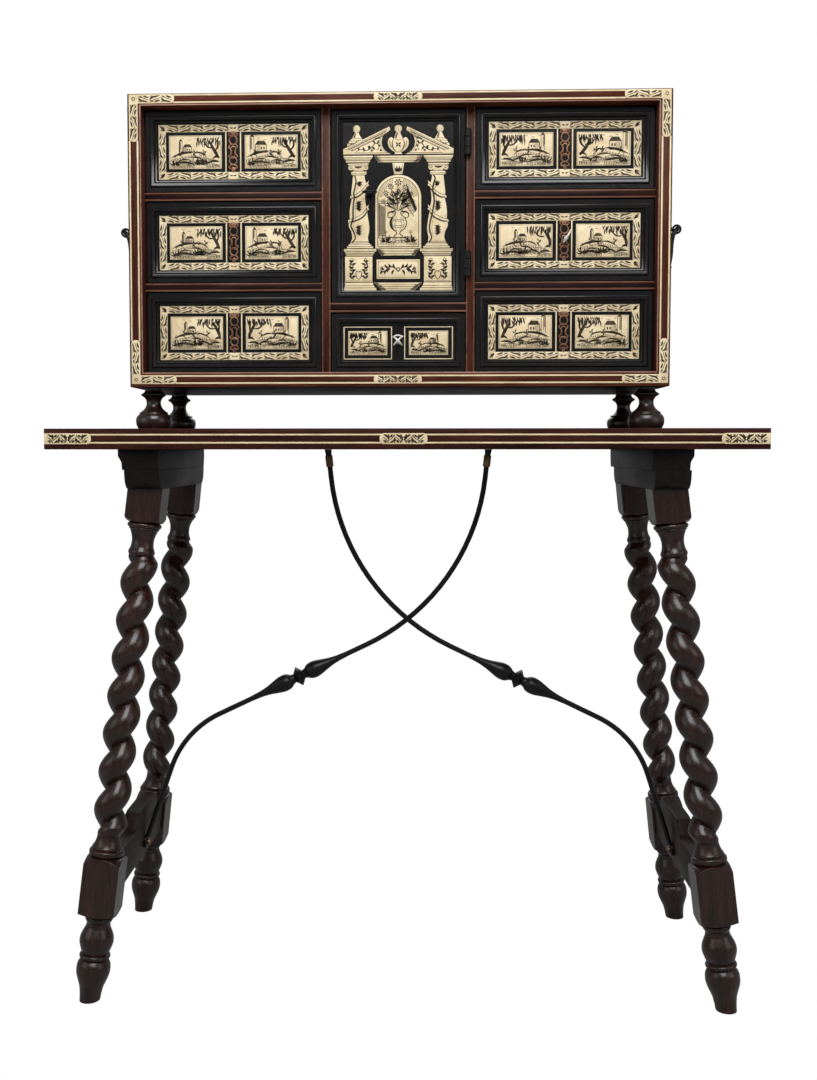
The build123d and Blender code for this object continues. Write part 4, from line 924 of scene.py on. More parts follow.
# The table top
@dataclass
class TableTop:
    """The slab, its two bone lines and three engraved plaques."""

    half_width: float = 500.0
    line_drops: Pair = (8.6, 19.8)
    line_width: float = 2.2
    plaque_length: float = 67.0
    plaque_height: float = 15.0

    def build(self) -> None:
        """Make and dress the table top."""
        slab = block((-self.half_width, TABLE_FRONT, TABLE_UNDER), (self.half_width, -TABLE_FRONT, TABLE_TOP), 0)
        soften(slab, 1.3, 3)
        deliver([slab], "table_slab", CARCASS, TABLE_WOOD, ("table_top",))
        face = TABLE_FRONT - BONE_RISE
        middle = TABLE_TOP - sum(self.line_drops) / 2
        reach = self.half_width - self.plaque_length / 2
        bone = [blunt_plate(x, middle, self.plaque_length - 1, self.plaque_height, face, ends)
                for x, ends in ((-reach, (False, True)), (0, (True, True)), (reach, (True, False)))]
        near, far = self.plaque_length / 2 - 3.5, self.half_width - self.plaque_length + 3.5
        for drop in self.line_drops:
            z = TABLE_TOP - drop
            for x0, x1 in ((-far, -near), (near, far)):
                bone.append(bone_line(x0, x1, z - self.line_width / 2, z + self.line_width / 2, TABLE_FRONT))
        deliver(bone, "table_bone", CARCASS, BONE, ("table_inlay",))
        burin = Burin(face, 3)
        for x in (-reach, 0, reach):
            scroll_plaque(burin, x, middle, self.plaque_length, self.plaque_height)
        burin.piece("table_engraving", CARCASS)


def scroll_plaque(burin: Burin, x: float, z: float, length: float, height: float) -> None:
    """Engrave a long plaque with leaf scrolls that run out from its middle."""
    half = height / 2
    for way in BOTH:
        burin.scroll((x + way * 2.5, z), (x + way * (length / 2 - 5), z), half * 0.82, 3, way)
        burin.leaf((x + way * 1, z), (x + way * 4.5, z + half * 0.7), 0.9, way * 0.7)
        burin.leaf((x + way * 1, z), (x + way * 4.5, z - half * 0.7), 0.9, -way * 0.7)
    burin.flower((x, z), half * 0.3, 8)


# The stand
@dataclass
class Trestle:
    """Battens, head rails, twisted legs and shaped cross rails."""

    center_x: float = 2.5
    top_x: float = 373.1
    top_y: float = 126.4
    foot_x: float = 458.7
    foot_y: float = 165.0
    leg_top: float = 742.0
    batten_under: float = 770.0
    batten: tuple[float, float, float] = (345.6, 402.6, 354.0)
    twist: Pair = (238.0, 652.0)
    pitch: float = 54.8
    crest: float = 25.4
    valley: float = 11.3
    inward_height: float = 248.0
    stretch: float = field(init=False)

    def __post_init__(self) -> None:
        """Work out how much longer a leg is than it is high."""
        run = Vector((self.foot_x - self.top_x, self.foot_y - self.top_y, self.leg_top))
        self.stretch = run.length / self.leg_top

    def matrix(self, side: int, end: int) -> Matrix:
        """The place of a leg: its foot on the floor, its height along its splayed axis."""
        foot = Vector((self.center_x + side * self.foot_x, end * self.foot_y, 0))
        top = Vector((self.center_x + side * self.top_x, end * self.top_y, self.leg_top))
        axis = (top - foot).normalized()
        return along(foot, axis, DEEP.cross(axis))

    def turned_block(self, width: float, low: float, high: float, drops: Pair) -> Piece:
        """A square block with its corners turned down at both ends.

        Args:
            width: its width.
            low, high: its ends, as heights.
            drops: how far its corners fall at the bottom and the top.

        Returns:
            The block, along its own upright axis.
        """
        z0, z1 = low * self.stretch, high * self.stretch
        half = width / 2
        piece = block((-half, -half, z0), (half, half, z1), 0)
        with editing(piece):
            bpy.ops.mesh.subdivide(number_cuts=17)
        corner = half * (math.sqrt(2) - 1)
        for vertex in piece.data.vertices:
            out = max(0.0, math.hypot(vertex.co.x, vertex.co.y) - half * 0.96) / corner
            floor, ceiling = z0 + drops[0] * out, z1 - drops[1] * out
            vertex.co.z = min(max(vertex.co.z, floor), ceiling)
        tidy_shell(piece)
        return soften(piece, 0.7, 2, 50)

    def turning(self, profile: Sequence[Pair]) -> Piece:
        """A turned stretch of the leg, from radii and heights."""
        return lathe([(radius, height * self.stretch) for radius, height in profile], 40)

    def twisted(self, side: int, end: int) -> Piece:
        """The twisted shaft: one strand of round bulges between sharp valleys.

        Args:
            side: -1 for a left leg, 1 for a right one.
            end: -1 for a front leg, 1 for a rear one.

        Returns:
            The shaft, along its own upright axis; it winds to the right where side and end agree.
        """
        low, high = self.twist
        hand = side * end
        inward = math.pi if side > 0 else 0.0

        def place(u: float, v: float) -> tuple[float, float, float]:
            """A point of the shaft's skin."""
            angle = 2 * math.pi * u
            height = low + (high - low) * v
            lag = angle - inward - hand * 2 * math.pi * (height - self.inward_height) / self.pitch
            bulge = abs(math.cos(lag / 2)) ** 0.85
            ends = min(1.0, (height - low) / 16 + 0.02, (high - height) / 16 + 0.02)
            neck = 15.6
            radius = neck + (self.valley + (self.crest - self.valley) * bulge - neck) * ends
            if v < 1e-6 or v > 1 - 1e-6:
                radius = 0.0
            return (radius * math.cos(angle), radius * math.sin(angle), height * self.stretch)

        return formed_grid(52, int((high - low) / self.pitch * 26), place)

    def turned_parts(self) -> list[Piece]:
        """What all four legs share: foot, necks and blocks, along the leg's own upright axis."""
        foot = self.turning(
            [(14.6, -5), (14.8, 1), (15.4, 8)]
            + flowing([(15.6, 10), (17.3, 20), (20.5, 29), (23.4, 37.5), (24.4, 45), (23.6, 53), (20.8, 58.5),
                       (18.6, 61)])
            + flowing([(19.6, 62), (21.8, 63.2), (22.2, 65.5), (21.4, 67.4), (19.8, 68.4)], 4)
            + flowing([(18.8, 69), (20.4, 72), (22.6, 78), (24.2, 84), (24.4, 89), (23.2, 95), (20.2, 102),
                       (17.8, 107)])
            + flowing([(17.3, 110), (17.0, 113), (18.4, 115.5), (19.6, 118), (19.2, 121), (17.6, 123)], 4)
            + [(17.4, 130)])
        low_neck = self.turning(
            [(22, 205)] + flowing([(22.8, 210.6), (24.6, 212.6), (25.3, 215.6), (24.6, 218.6), (22.4, 220.4)], 5)
            + flowing([(21.2, 220.8), (21.9, 222.3), (21.5, 224)], 3)
            + flowing([(20.6, 224.6), (18.8, 228.4), (17.0, 233.4), (16.0, 239), (15.7, 245)], 5) + [(12, 249)])
        high_neck = self.turning(
            [(13, 641)] + flowing([(15.2, 644), (18.2, 647), (19.2, 650), (18.4, 653), (16.9, 656.5)], 4)
            + flowing([(16.2, 660), (15.8, 665), (16.2, 670), (17.4, 675), (19.6, 680.6), (20.6, 682.6)], 5)
            + flowing([(21.4, 683.0), (22.2, 684.2), (21.6, 685.2)], 3)
            + flowing([(22.8, 685.6), (24.2, 687.2), (24.6, 689), (24.0, 691), (22.4, 692.4)], 5)
            + [(20.4, 692.8), (20.2, 700)])
        low_block = self.turned_block(52, 125.5, 210, (4.0, 7.5))
        head_block = self.turned_block(50, 693.0, 752, (6.0, 0.0))
        return [foot, low_neck, high_neck, low_block, head_block]

    def build_legs(self) -> None:
        """Turn the shared parts once and set them with a twisted shaft in each of the four corners."""
        parts = self.turned_parts()
        corners = {"front_left": (-1, -1), "rear_left": (-1, 1), "front_right": (1, -1), "rear_right": (1, 1)}
        for label, (side, end) in corners.items():
            matrix = self.matrix(side, end)
            leg = joined([placed(self.twisted(side, end), matrix)] + [copied(part, matrix) for part in parts])
            sawn(sawn(leg, (0, 0, 0), (0, 0, 1), True), (0, 0, self.leg_top), (0, 0, -1), True)
            deliver([leg], f"twisted_leg_{label}", CARCASS, LEG_WOOD, (f"{label}_leg",), 42)
        for part in parts:
            bpy.data.objects.remove(part)

    def build_rails(self) -> None:
        """Make the battens, head rails and cross rails."""
        battens, heads, crosses = [], [], []
        inner, outer, long = self.batten
        for side in BOTH:
            edge = [(outer, TABLE_UNDER), (outer, 792)] + flowing(
                [(outer, 792), (outer - 0.4, 789), (outer - 2.6, 785), (outer - 4.2, 781), (outer - 4.5, 776)], 4)[1:]
            profile = [(inner, TABLE_UNDER), *edge, (outer - 4.5, self.batten_under), (inner, self.batten_under)]
            batten = cut_out([(side * x, -long / 2, z) for x, z in profile], (0, long, 0))
            for end in BOTH:
                sawn(batten, (0, end * long / 2, 788), (0, end, -0.26))
            battens.append(soften(batten, 0.6, 2, 30))
            low = self.top_y + 25
            end_line = flowing([(low, 742), (low + 6, 743.6), (low + 12, 747.4), (low + 16, 752.6), (low + 18, 758),
                                (low + 19.4, 763), (low + 20.6, 770)], 4)
            rail = [(-y, z) for y, z in end_line[::-1]] + end_line
            near = self.center_x + side * (self.top_x - 25)
            heads.append(soften(cut_out([(near, y, z) for y, z in rail], (side * 50, 0, 0)), 0.7, 2, 30))
            crosses.append(self.cross_rail(side))
        deliver(battens, "top_battens", CARCASS, RAIL_WOOD_AND_UNDERSIDE_SHADE, ("upper_battens",))
        deliver(heads, "trestle_heads", CARCASS, RAIL_WOOD_AND_UNDERSIDE_SHADE, ("head_rails",))
        deliver(crosses, "trestle_cross_rails", CARCASS, CROSS_WOOD, ("cross_rails",))

    def lean(self, side: int) -> tuple[Vector, Vector, Vector]:
        """A cross rail's face: where it starts, the way up it and the way inward."""
        up = Vector((side * (self.top_x - self.foot_x), 0, self.leg_top)).normalized()
        inward = up.cross(Vector((0, side, 0))).normalized()
        return Vector((self.center_x + side * self.foot_x, 0, 0)) + inward * 22, up * self.stretch, inward

    def cross_rail(self, side: int) -> Piece:
        """The rail between two low blocks, with its hump and lips."""
        start, up, inward = self.lean(side)
        outer = self.foot_y - 24
        half = flowing([(84, 217), (77, 218.5), (70, 224), (63, 234), (57, 240.5), (48, 243)], 5)
        outline = [(-outer, 155), (outer, 155), (outer, 217), *half]
        outline += [(-y, z) for y, z in half[::-1]] + [(-outer, 217)]
        points = [start + up * z + Vector((0, y, 0)) for y, z in outline]
        return soften(cut_out(points, -inward * 22), 0.8, 2, 32)


CROSS_WOOD = Wood("cross_rail_wood", "leg_wood", (0.006, 0.003, 0.0025), (0.018, 0.009, 0.007), (0.04, 0.022, 0.017),
                  Grain.DEEP, rough=0.45, specular=0.12)


@dataclass
class Stretchers:
    """The two forged irons that cross under the table, with their sleeves and bolts."""

    trestle: Trestle
    radius: float = 4.0
    center_x: float = 5.0
    offset: float = 4.2
    eye_height: float = 178.0
    top_spread: float = 124.0
    knee_spread: float = 99.6
    knee_height: float = 572.5
    elbow_spread: float = 353.7
    elbow_height: float = 355.0
    bends: Pair = (330.0, 150.0)
    collar_spread: float = 170.9

    def point(self, side: int, spread: float, height: float) -> Vector:
        """A point of one iron's middle line, from how far it lies towards its own side."""
        return Vector((self.center_x + side * spread, -side * self.offset, height))

    def corners(self, side: int) -> list[Vector]:
        """The corners of one iron's middle line: table, knee, elbow and eye."""
        start, up, inward = self.trestle.lean(side)
        end = start + up * self.eye_height + up.normalized() * 9 + inward * 4.15
        end.y = -side * self.offset
        return [self.point(side, -self.top_spread, TABLE_UNDER), self.point(side, -self.knee_spread, self.knee_height),
                self.point(side, self.elbow_spread, self.elbow_height), end]

    def route(self, side: int) -> list[Vector]:
        """The middle line of one iron, from the table to its eye, with its bends rounded."""
        corners = self.corners(side)
        line = [corners[0]]
        for before, corner, after, radius in zip(corners, corners[1:], corners[2:], self.bends):
            a, b = (before - corner).normalized(), (after - corner).normalized()
            turn = math.pi - a.angle(b)
            cut = radius * math.tan(turn / 2)
            middle = corner + (a + b).normalized() * (radius / math.cos(turn / 2))
            first, last = corner + a * cut - middle, corner + b * cut - middle
            line += [middle + first.slerp(last, n / 18) * radius for n in range(19)]
        return line + [corners[3]]

    def buds(self, side: int) -> Piece:
        """The sharp collar and the two opposed buds on the long run."""
        knee, elbow = self.corners(side)[1:3]
        share = (self.collar_spread + self.knee_spread) / (self.elbow_spread + self.knee_spread)
        half = flowing([(7.4, 10.5), (8.6, 13), (11.6, 17.5), (12.9, 24), (12.4, 32), (9.6, 43), (6.8, 54), (5, 66),
                        (4.3, 78), (3.6, 90)], 4)
        collar = [(7.2, 9.5), (6.8, 7.5), (8.4, 6.2), (11.4, 3.6), (15.7, 0.0)]
        profile = [(r, -h) for r, h in half[::-1] + collar] + collar[-2::-1] + half
        return placed(lathe(profile, 32), along(knee.lerp(elbow, share), elbow - knee, DEEP))

    def build(self) -> None:
        """Make both irons and their fittings."""
        fittings = []
        under = (0, 0, TABLE_UNDER - 0.1)
        for side, label in zip(BOTH, ("left", "right")):
            line = self.route(side)
            top, down = line[0], (line[1] - line[0]).normalized()
            hung = along(top, down, DEEP)
            start, up, inward = self.trestle.lean(side)
            bolted = along(start + up * self.eye_height + Vector((0, -side * self.offset, 0)), inward, DEEP)
            bar = rod([top - down * 2] + line[1:], self.radius, 4)
            flare = placed(lathe(flowing([(5.6, -2), (5.2, 3), (4.4, 10), (4.0, 16)], 4), 24), hung)
            eye = placed(lathe([(3.4, 0.2), (9.2, 0.2), (10, 1), (10, 4.2), (9.2, 5), (3.4, 5)], 28), bolted)
            deliver([sawn(bar, under, (0, 0, 1)), sawn(flare, under, (0, 0, 1)), self.buds(side), eye],
                    f"iron_stretcher_{label}", CARCASS, IRON, (f"{label}_stretcher",), 40)
            sleeve = lathe([(4.1, 9), (5.4, 9.2), (5.7, 10), (5.7, 26), (5.4, 26.8), (4.1, 27)], 24)
            bolt = lathe([(3, -2), (3, 5), (5, 5.2), (5.2, 6), (4.6, 8.2), (2.6, 9.4), (0.8, 9.7)], 20)
            fittings += [placed(sleeve, hung), placed(bolt, bolted)]
        deliver(fittings, "stretcher_sleeves_and_bolts", CARCASS, OLD_BRASS, ("stretcher_fittings",), 40)


# The cabinet's carcass
@dataclass
class Carcass:
    """Feet, boards, front inlay, partitions and rails."""

    foot_spread: float = 353.3
    foot_rows: Pair = (-128.0, 53.0)
    line_width: float = 2.2
    side_insets: Pair = (3.0, 14.0)
    top_insets: Pair = (2.3, 12.5)
    bottom_insets: Pair = (5.5, 15.5)
    bracket_reach: float = 67.5
    bracket_width: float = 12.3

    def build_feet(self) -> None:
        """Turn one foot and set four."""
        profile = ([(20.6, 0), (22.2, 0.8), (22.7, 2.0)]
                   + flowing([(23.0, 2.6), (24.8, 6.5), (25.5, 11), (25.2, 15), (23.6, 18.8), (21.4, 21.2)], 4)
                   + [(20.2, 21.6), (20.0, 22.4), (20.7, 23.0)]
                   + flowing([(20.4, 23.8), (16.6, 26.4), (12.6, 30.4), (10.5, 35), (10.2, 39)], 4)
                   + flowing([(10.8, 42), (13.4, 45.8), (17.4, 48.4)], 4)
                   + flowing([(17.8, 49.4), (17.6, 50.6), (14.6, 52.4), (12.6, 54.6), (12.3, 57)], 4)
                   + [(12.7, 57.6), (12.7, 59.4)])
        foot = lathe(profile, 44)
        spots = [Matrix.Translation((CENTER_X + side * self.foot_spread, y, TABLE_TOP))
                 for side in BOTH for y in self.foot_rows]
        feet = [copied(foot, spot) for spot in spots[1:]]
        deliver([placed(foot, spots[0]), *feet], "turned_cabinet_feet", CARCASS, FOOT_EBONY, ("cabinet_feet",), 40)

    def build_boards(self) -> None:
        """Make the case round the bays, with painted shade on the case bottom's underside."""
        wide = ((CABINET_LEFT, CABINET_FRONT), (CABINET_RIGHT, CABINET_REAR))
        for name, node, low, high in (("case_top", "cabinet_top", BAY_CEILING, CABINET_CROWN),
                                      ("case_bottom", "cabinet_bottom", CABINET_BASE, BAY_FLOOR)):
            board = deliver([block((*wide[0], low), (*wide[1], high), 0.9)], name, CARCASS, ROSEWOOD, (node,))
            # The case bottom's downward faces take the near-black rail wood: painted shade on the underside.
            board.data.materials.append(RAIL_WOOD_AND_UNDERSIDE_SHADE.material())
            for face in board.data.polygons:
                face.material_index = int(name == "case_bottom" and face.normal.z < -0.9)
        sides = [block((x0, CABINET_FRONT, BAY_FLOOR), (x1, CABINET_REAR, BAY_CEILING), 0.4)
                 for x0, x1 in ((CABINET_LEFT, BAY_LEFT), (BAY_RIGHT, CABINET_RIGHT))]
        deliver(sides, "case_sides", CARCASS, ROSEWOOD_UP, ("cabinet_sides",))
        back = block((BAY_LEFT, BAY_REAR, BAY_FLOOR), (BAY_RIGHT, CABINET_REAR - 0.4, BAY_CEILING), 0.4)
        deliver([back], "case_back", CARCASS, BACK_WOOD, ("cabinet_back",))
        thin, face = 1.5, CABINET_FRONT - 0.2
        strips = [((BAY_LEFT - thin, BAY_FLOOR - thin), (BAY_LEFT, BAY_CEILING + thin)),
                  ((BAY_RIGHT, BAY_FLOOR - thin), (BAY_RIGHT + thin, BAY_CEILING + thin)),
                  ((BAY_LEFT, BAY_CEILING), (BAY_RIGHT, BAY_CEILING + thin)),
                  ((BAY_LEFT, BAY_FLOOR - thin), (BAY_RIGHT, BAY_FLOOR))]
        deliver([block((a[0], face, a[1]), (b[0], CABINET_FRONT + 1, b[1]), 0.2) for a, b in strips],
                "opening_stringing", CARCASS, STRINGING)

    def build_inlay(self) -> None:
        """Lay the bone lines, brackets and plaques in the front edges, and engrave them."""
        face = CABINET_FRONT - BONE_RISE
        burin = Burin(face, 11)
        brackets, lines = [], []
        half, band = self.line_width / 2, self.bracket_width / 2 * 0.78
        walls = ((-1, CABINET_LEFT), (1, CABINET_RIGHT))
        reach = self.bracket_reach
        for level, edge, insets in ((-1, CABINET_BASE, self.bottom_insets), (1, CABINET_CROWN, self.top_insets)):
            row = edge - level * sum(insets) / 2
            for side, wall in walls:
                column = wall - side * sum(self.side_insets) / 2
                brackets.append(plate(self.bracket_outline(side, level, column, row, wall, edge), face, 1.2, 0.15))
                burin.flower((column, row), 2.6, 7)
                burin.scroll((column - side * 7, row), (wall - side * (reach - 4), row), band, 3, side * level)
                burin.scroll((column, row - level * 7), (column, edge - level * (reach - 4)), band, 3, side * level)
                x0, x1 = sorted((CENTER_X + side * 30.5, wall - side * (reach - 3)))
                for z in [edge - level * inset for inset in insets]:
                    lines.append(bone_line(x0, x1, z - half, z + half, CABINET_FRONT))
            brackets.append(blunt_plate(CENTER_X, row, reach, self.bracket_width, face))
            scroll_plaque(burin, CENTER_X, row, reach, self.bracket_width)
        for x in [wall - side * inset for side, wall in walls for inset in self.side_insets]:
            ends = (CABINET_BASE + reach - 3, CABINET_CROWN - reach + 3)
            lines.append(bone_line(x - half, x + half, *ends, CABINET_FRONT))
        deliver(brackets, "front_brackets", CARCASS, BONE, ("cabinet_brackets",))
        deliver(lines, "front_bone_lines", CARCASS, BONE, ("cabinet_bone_lines",))
        burin.piece("bracket_engraving", CARCASS)

    def bracket_outline(self, side: int, level: int, column: float, row: float, wall: float, edge: float
                        ) -> list[Pair]:
        """The outline of one L-shaped bracket with rounded ends."""
        half = self.bracket_width / 2
        long = self.bracket_reach - abs(wall - column) - half
        high = self.bracket_reach - abs(edge - row) - half
        tips = [math.radians(90 - 180 * n / 8) for n in range(1, 8)]
        outline: list[Pair] = [(-half, half), (long, half)]
        outline += [(long + math.cos(a) * half * 0.8, math.sin(a) * half) for a in tips]
        outline += [(long, -half), (half, -half), (half, -high)]
        outline += [(math.sin(a) * half, -high - math.cos(a) * half * 0.8) for a in tips]
        outline += [(-half, -high)]
        return [(column - side * x, row + level * z) for x, z in outline]

    def build_grid(self) -> None:
        """Make the partitions and rails between the bays, with light fillets on their edges."""
        stiles = [block((x, GRID_FRONT, BAY_FLOOR), (x + STILE, BAY_REAR, BAY_CEILING), 0.3)
                  for x in (CENTER_LEFT - STILE, CENTER_RIGHT)]
        rails, fillets = [], []
        face = GRID_FRONT - 0.15
        bays = ((BAY_LEFT, CENTER_LEFT - STILE), (CENTER_RIGHT + STILE, BAY_RIGHT))
        levels = [(x0, x1, top - 11.5, top) for x0, x1 in bays for top in (1162.5, 1035.0)]
        levels.append((CENTER_LEFT, CENTER_RIGHT, 993.5, 1006.5))
        for x0, x1, z0, z1 in levels:
            rails.append(block((x0, GRID_FRONT, z0), (x1, BAY_REAR, z1), 0.3))
            fillets.append(block((x0, face, z1 - 2.0), (x1, GRID_FRONT + 1, z1), 0.15))
            fillets.append(block((x0, face, z0), (x1, GRID_FRONT + 1, z0 + 2.4), 0.15))
        for x in (CENTER_LEFT - STILE, CENTER_RIGHT):
            for x0 in (x, x + 10.2):
                fillets.append(block((x0, face, BAY_FLOOR), (x0 + 1.8, GRID_FRONT + 1, BAY_CEILING), 0.15))
        for x0, x1 in (*bays, (CENTER_LEFT, CENTER_RIGHT)):
            fillets.append(block((x0, face, BAY_FLOOR - 0.1), (x1, GRID_FRONT + 1, BAY_FLOOR + 0.25), 0))
        deliver(stiles, "bay_partitions", CARCASS, CARCASS_UP, ("partitions",))
        # The rails get the darker carcass wood, which paints shade on them.
        deliver(rails, "bay_rails", CARCASS, SHADE_PAINTED_CARCASS_WOOD, ("drawer_rails",))
        deliver(fillets, "bay_fillets", CARCASS, FILLET_WOOD)


STRINGING = Wood("light_stringing", "rosewood", (0.22, 0.11, 0.08), (0.36, 0.2, 0.15), (0.48, 0.3, 0.23), rough=0.38,
                 pore=0.2)


# Fronts
@dataclass
class PanelledFront:
    """A board with a stepped, mitred moulding round its field."""

    x0: float
    x1: float
    z0: float
    z1: float
    back: float = PANEL_BACK
    steps: tuple[Pair, ...] = (
        (0.0, 2.8), (0.6, 3.7), (1.3, 4.1), (7.5, 3.7), (7.7, 4.5), (8.2, 5.5), (8.8, 5.9), (9.4, 6.0),
        (10.0, 5.9), (13.2, 4.95), (13.6, 4.4), (13.9, 2.6), (14.0, 1.6), (14.6, 1.6), (14.7, 2.4), (14.9, 3.1),
        (15.3, 3.35), (17.0, 2.8), (17.2, 2.2), (17.3, 1.0), (17.4, 0.0))

    def board(self) -> Piece:
        """Inset the front of a board step by step."""
        front = FIELD_FRONT - self.steps[0][1]
        piece = block((self.x0, front, self.z0), (self.x1, self.back, self.z1), 0)
        for part in (*piece.data.edges, *piece.data.vertices):
            part.select = False
        for face in piece.data.polygons:
            face.select = face.normal.y < -0.9
        with editing(piece, "FACE", False):
            for (a, low), (b, high) in zip(self.steps, self.steps[1:]):
                bpy.ops.mesh.inset(thickness=b - a, depth=high - low)
        return piece


@dataclass
class Escutcheon:
    """A cast lock plate: crown, two pierced rings, a winged keyhole body and a leaf."""

    x: float
    z: float

    def parts(self) -> list[Piece]:
        """The plate's pieces, in relief on the field."""
        y = FIELD_FRONT
        made = []

        def spots(points: Sequence[Pair], way: int = 1) -> list[Pair]:
            """Points of the plate from its middle, mirrored by way."""
            return [(self.x + way * across, self.z + up) for across, up in points]

        for up, wide, high in ((16.2, 5.4, 6.0), (-12.4, 5.2, 5.4)):
            turns = [2 * math.pi * n / 28 for n in range(28)]
            ring = spots([(math.cos(a) * wide, up + math.sin(a) * high) for a in turns])
            made.append(rod([(x, y - 0.7, z) for x, z in ring], 0.95, 2, True))
        wires = (
            (0.85, 0.6, ((3.4, 11.0), (5.6, 8.6), (6.0, 6.2), (3.6, 3.6), (3.0, 0.0), (3.6, -3.4), (6.2, -5.6),
                         (5.4, -7.6), (3.0, -8.6))),
            (0.95, 0.7, ((1.4, 21.6), (4.6, 22.4), (6.4, 24.6), (5.0, 26.6), (3.2, 25.6))),
            (0.9, 0.6, ((1.2, -18.2), (4.4, -19.4), (5.8, -22.0), (4.0, -23.6), (2.6, -22.2))))
        tips = (((0.2, -20), (2.6, -23.5), (2.2, -26.5), (0.2, -29.5)),
                ((2.2, 22), (3.6, 25.0), (1.4, 29.6), (0.1, 27.6), (0.1, 22)))
        for way in BOTH:
            for radius, rise, points in wires:
                line = flowing(spots(points, way), 3)
                made.append(rod([(x, y - rise, z) for x, z in line], radius, 2))
            made += [plate(spots(points, way), y - 0.9, 1.0, 0.25) for points in tips]
        turns = [math.radians(d) for d in range(0, 151, 25)]
        rim = [(math.sin(a) * 2.7, 4.2 + math.cos(a) * 2.7) for a in turns] + [(1.6, -6.4), (2.6, -6.8)]
        rim += [(math.sin(a) * 3.9, 4.3 + math.cos(a) * 4.1) for a in turns[::-1]]
        made += [plate(spots(rim, way), y - 0.8, 0.8, 0.2) for way in (1, -1)]
        for points in (((-3.4, -9.6), (3.4, -9.6), (2.6, -6.2), (-2.6, -6.2)),
                       ((-2.8, 9.4), (2.8, 9.4), (3.4, 11.4), (-3.4, 11.4))):
            made.append(plate(spots(points), y - 0.9, 1.0, 0.25))
        return made


def key_bore(x: float, z: float, front: float, rear: float) -> Piece:
    """The solid of a keyhole: a round eye over a slot."""
    turns = [math.radians(30 * n - 60) for n in range(11)]
    outline = [(x + math.cos(a) * 3, z + math.sin(a) * 3) for a in turns] + [(x - 1.3, z - 8), (x + 1.3, z - 8)]
    return cut_out([(a, front, b) for a, b in outline], (0, rear - front, 0))


def lock_case(x: float, z: float, front: float) -> Piece:
    """A lock's iron case behind a front, hollow behind its keyhole."""
    case = block((x - 22, front, z - 17), (x + 22, front + 9, z + 17), 0.6)
    carve(case, block((x - 9.5, front + 2, z - 9.5), (x + 9.5, front + 7, z + 9.5), 0))
    return carve(case, key_bore(x, z, front - 1, front + 4))


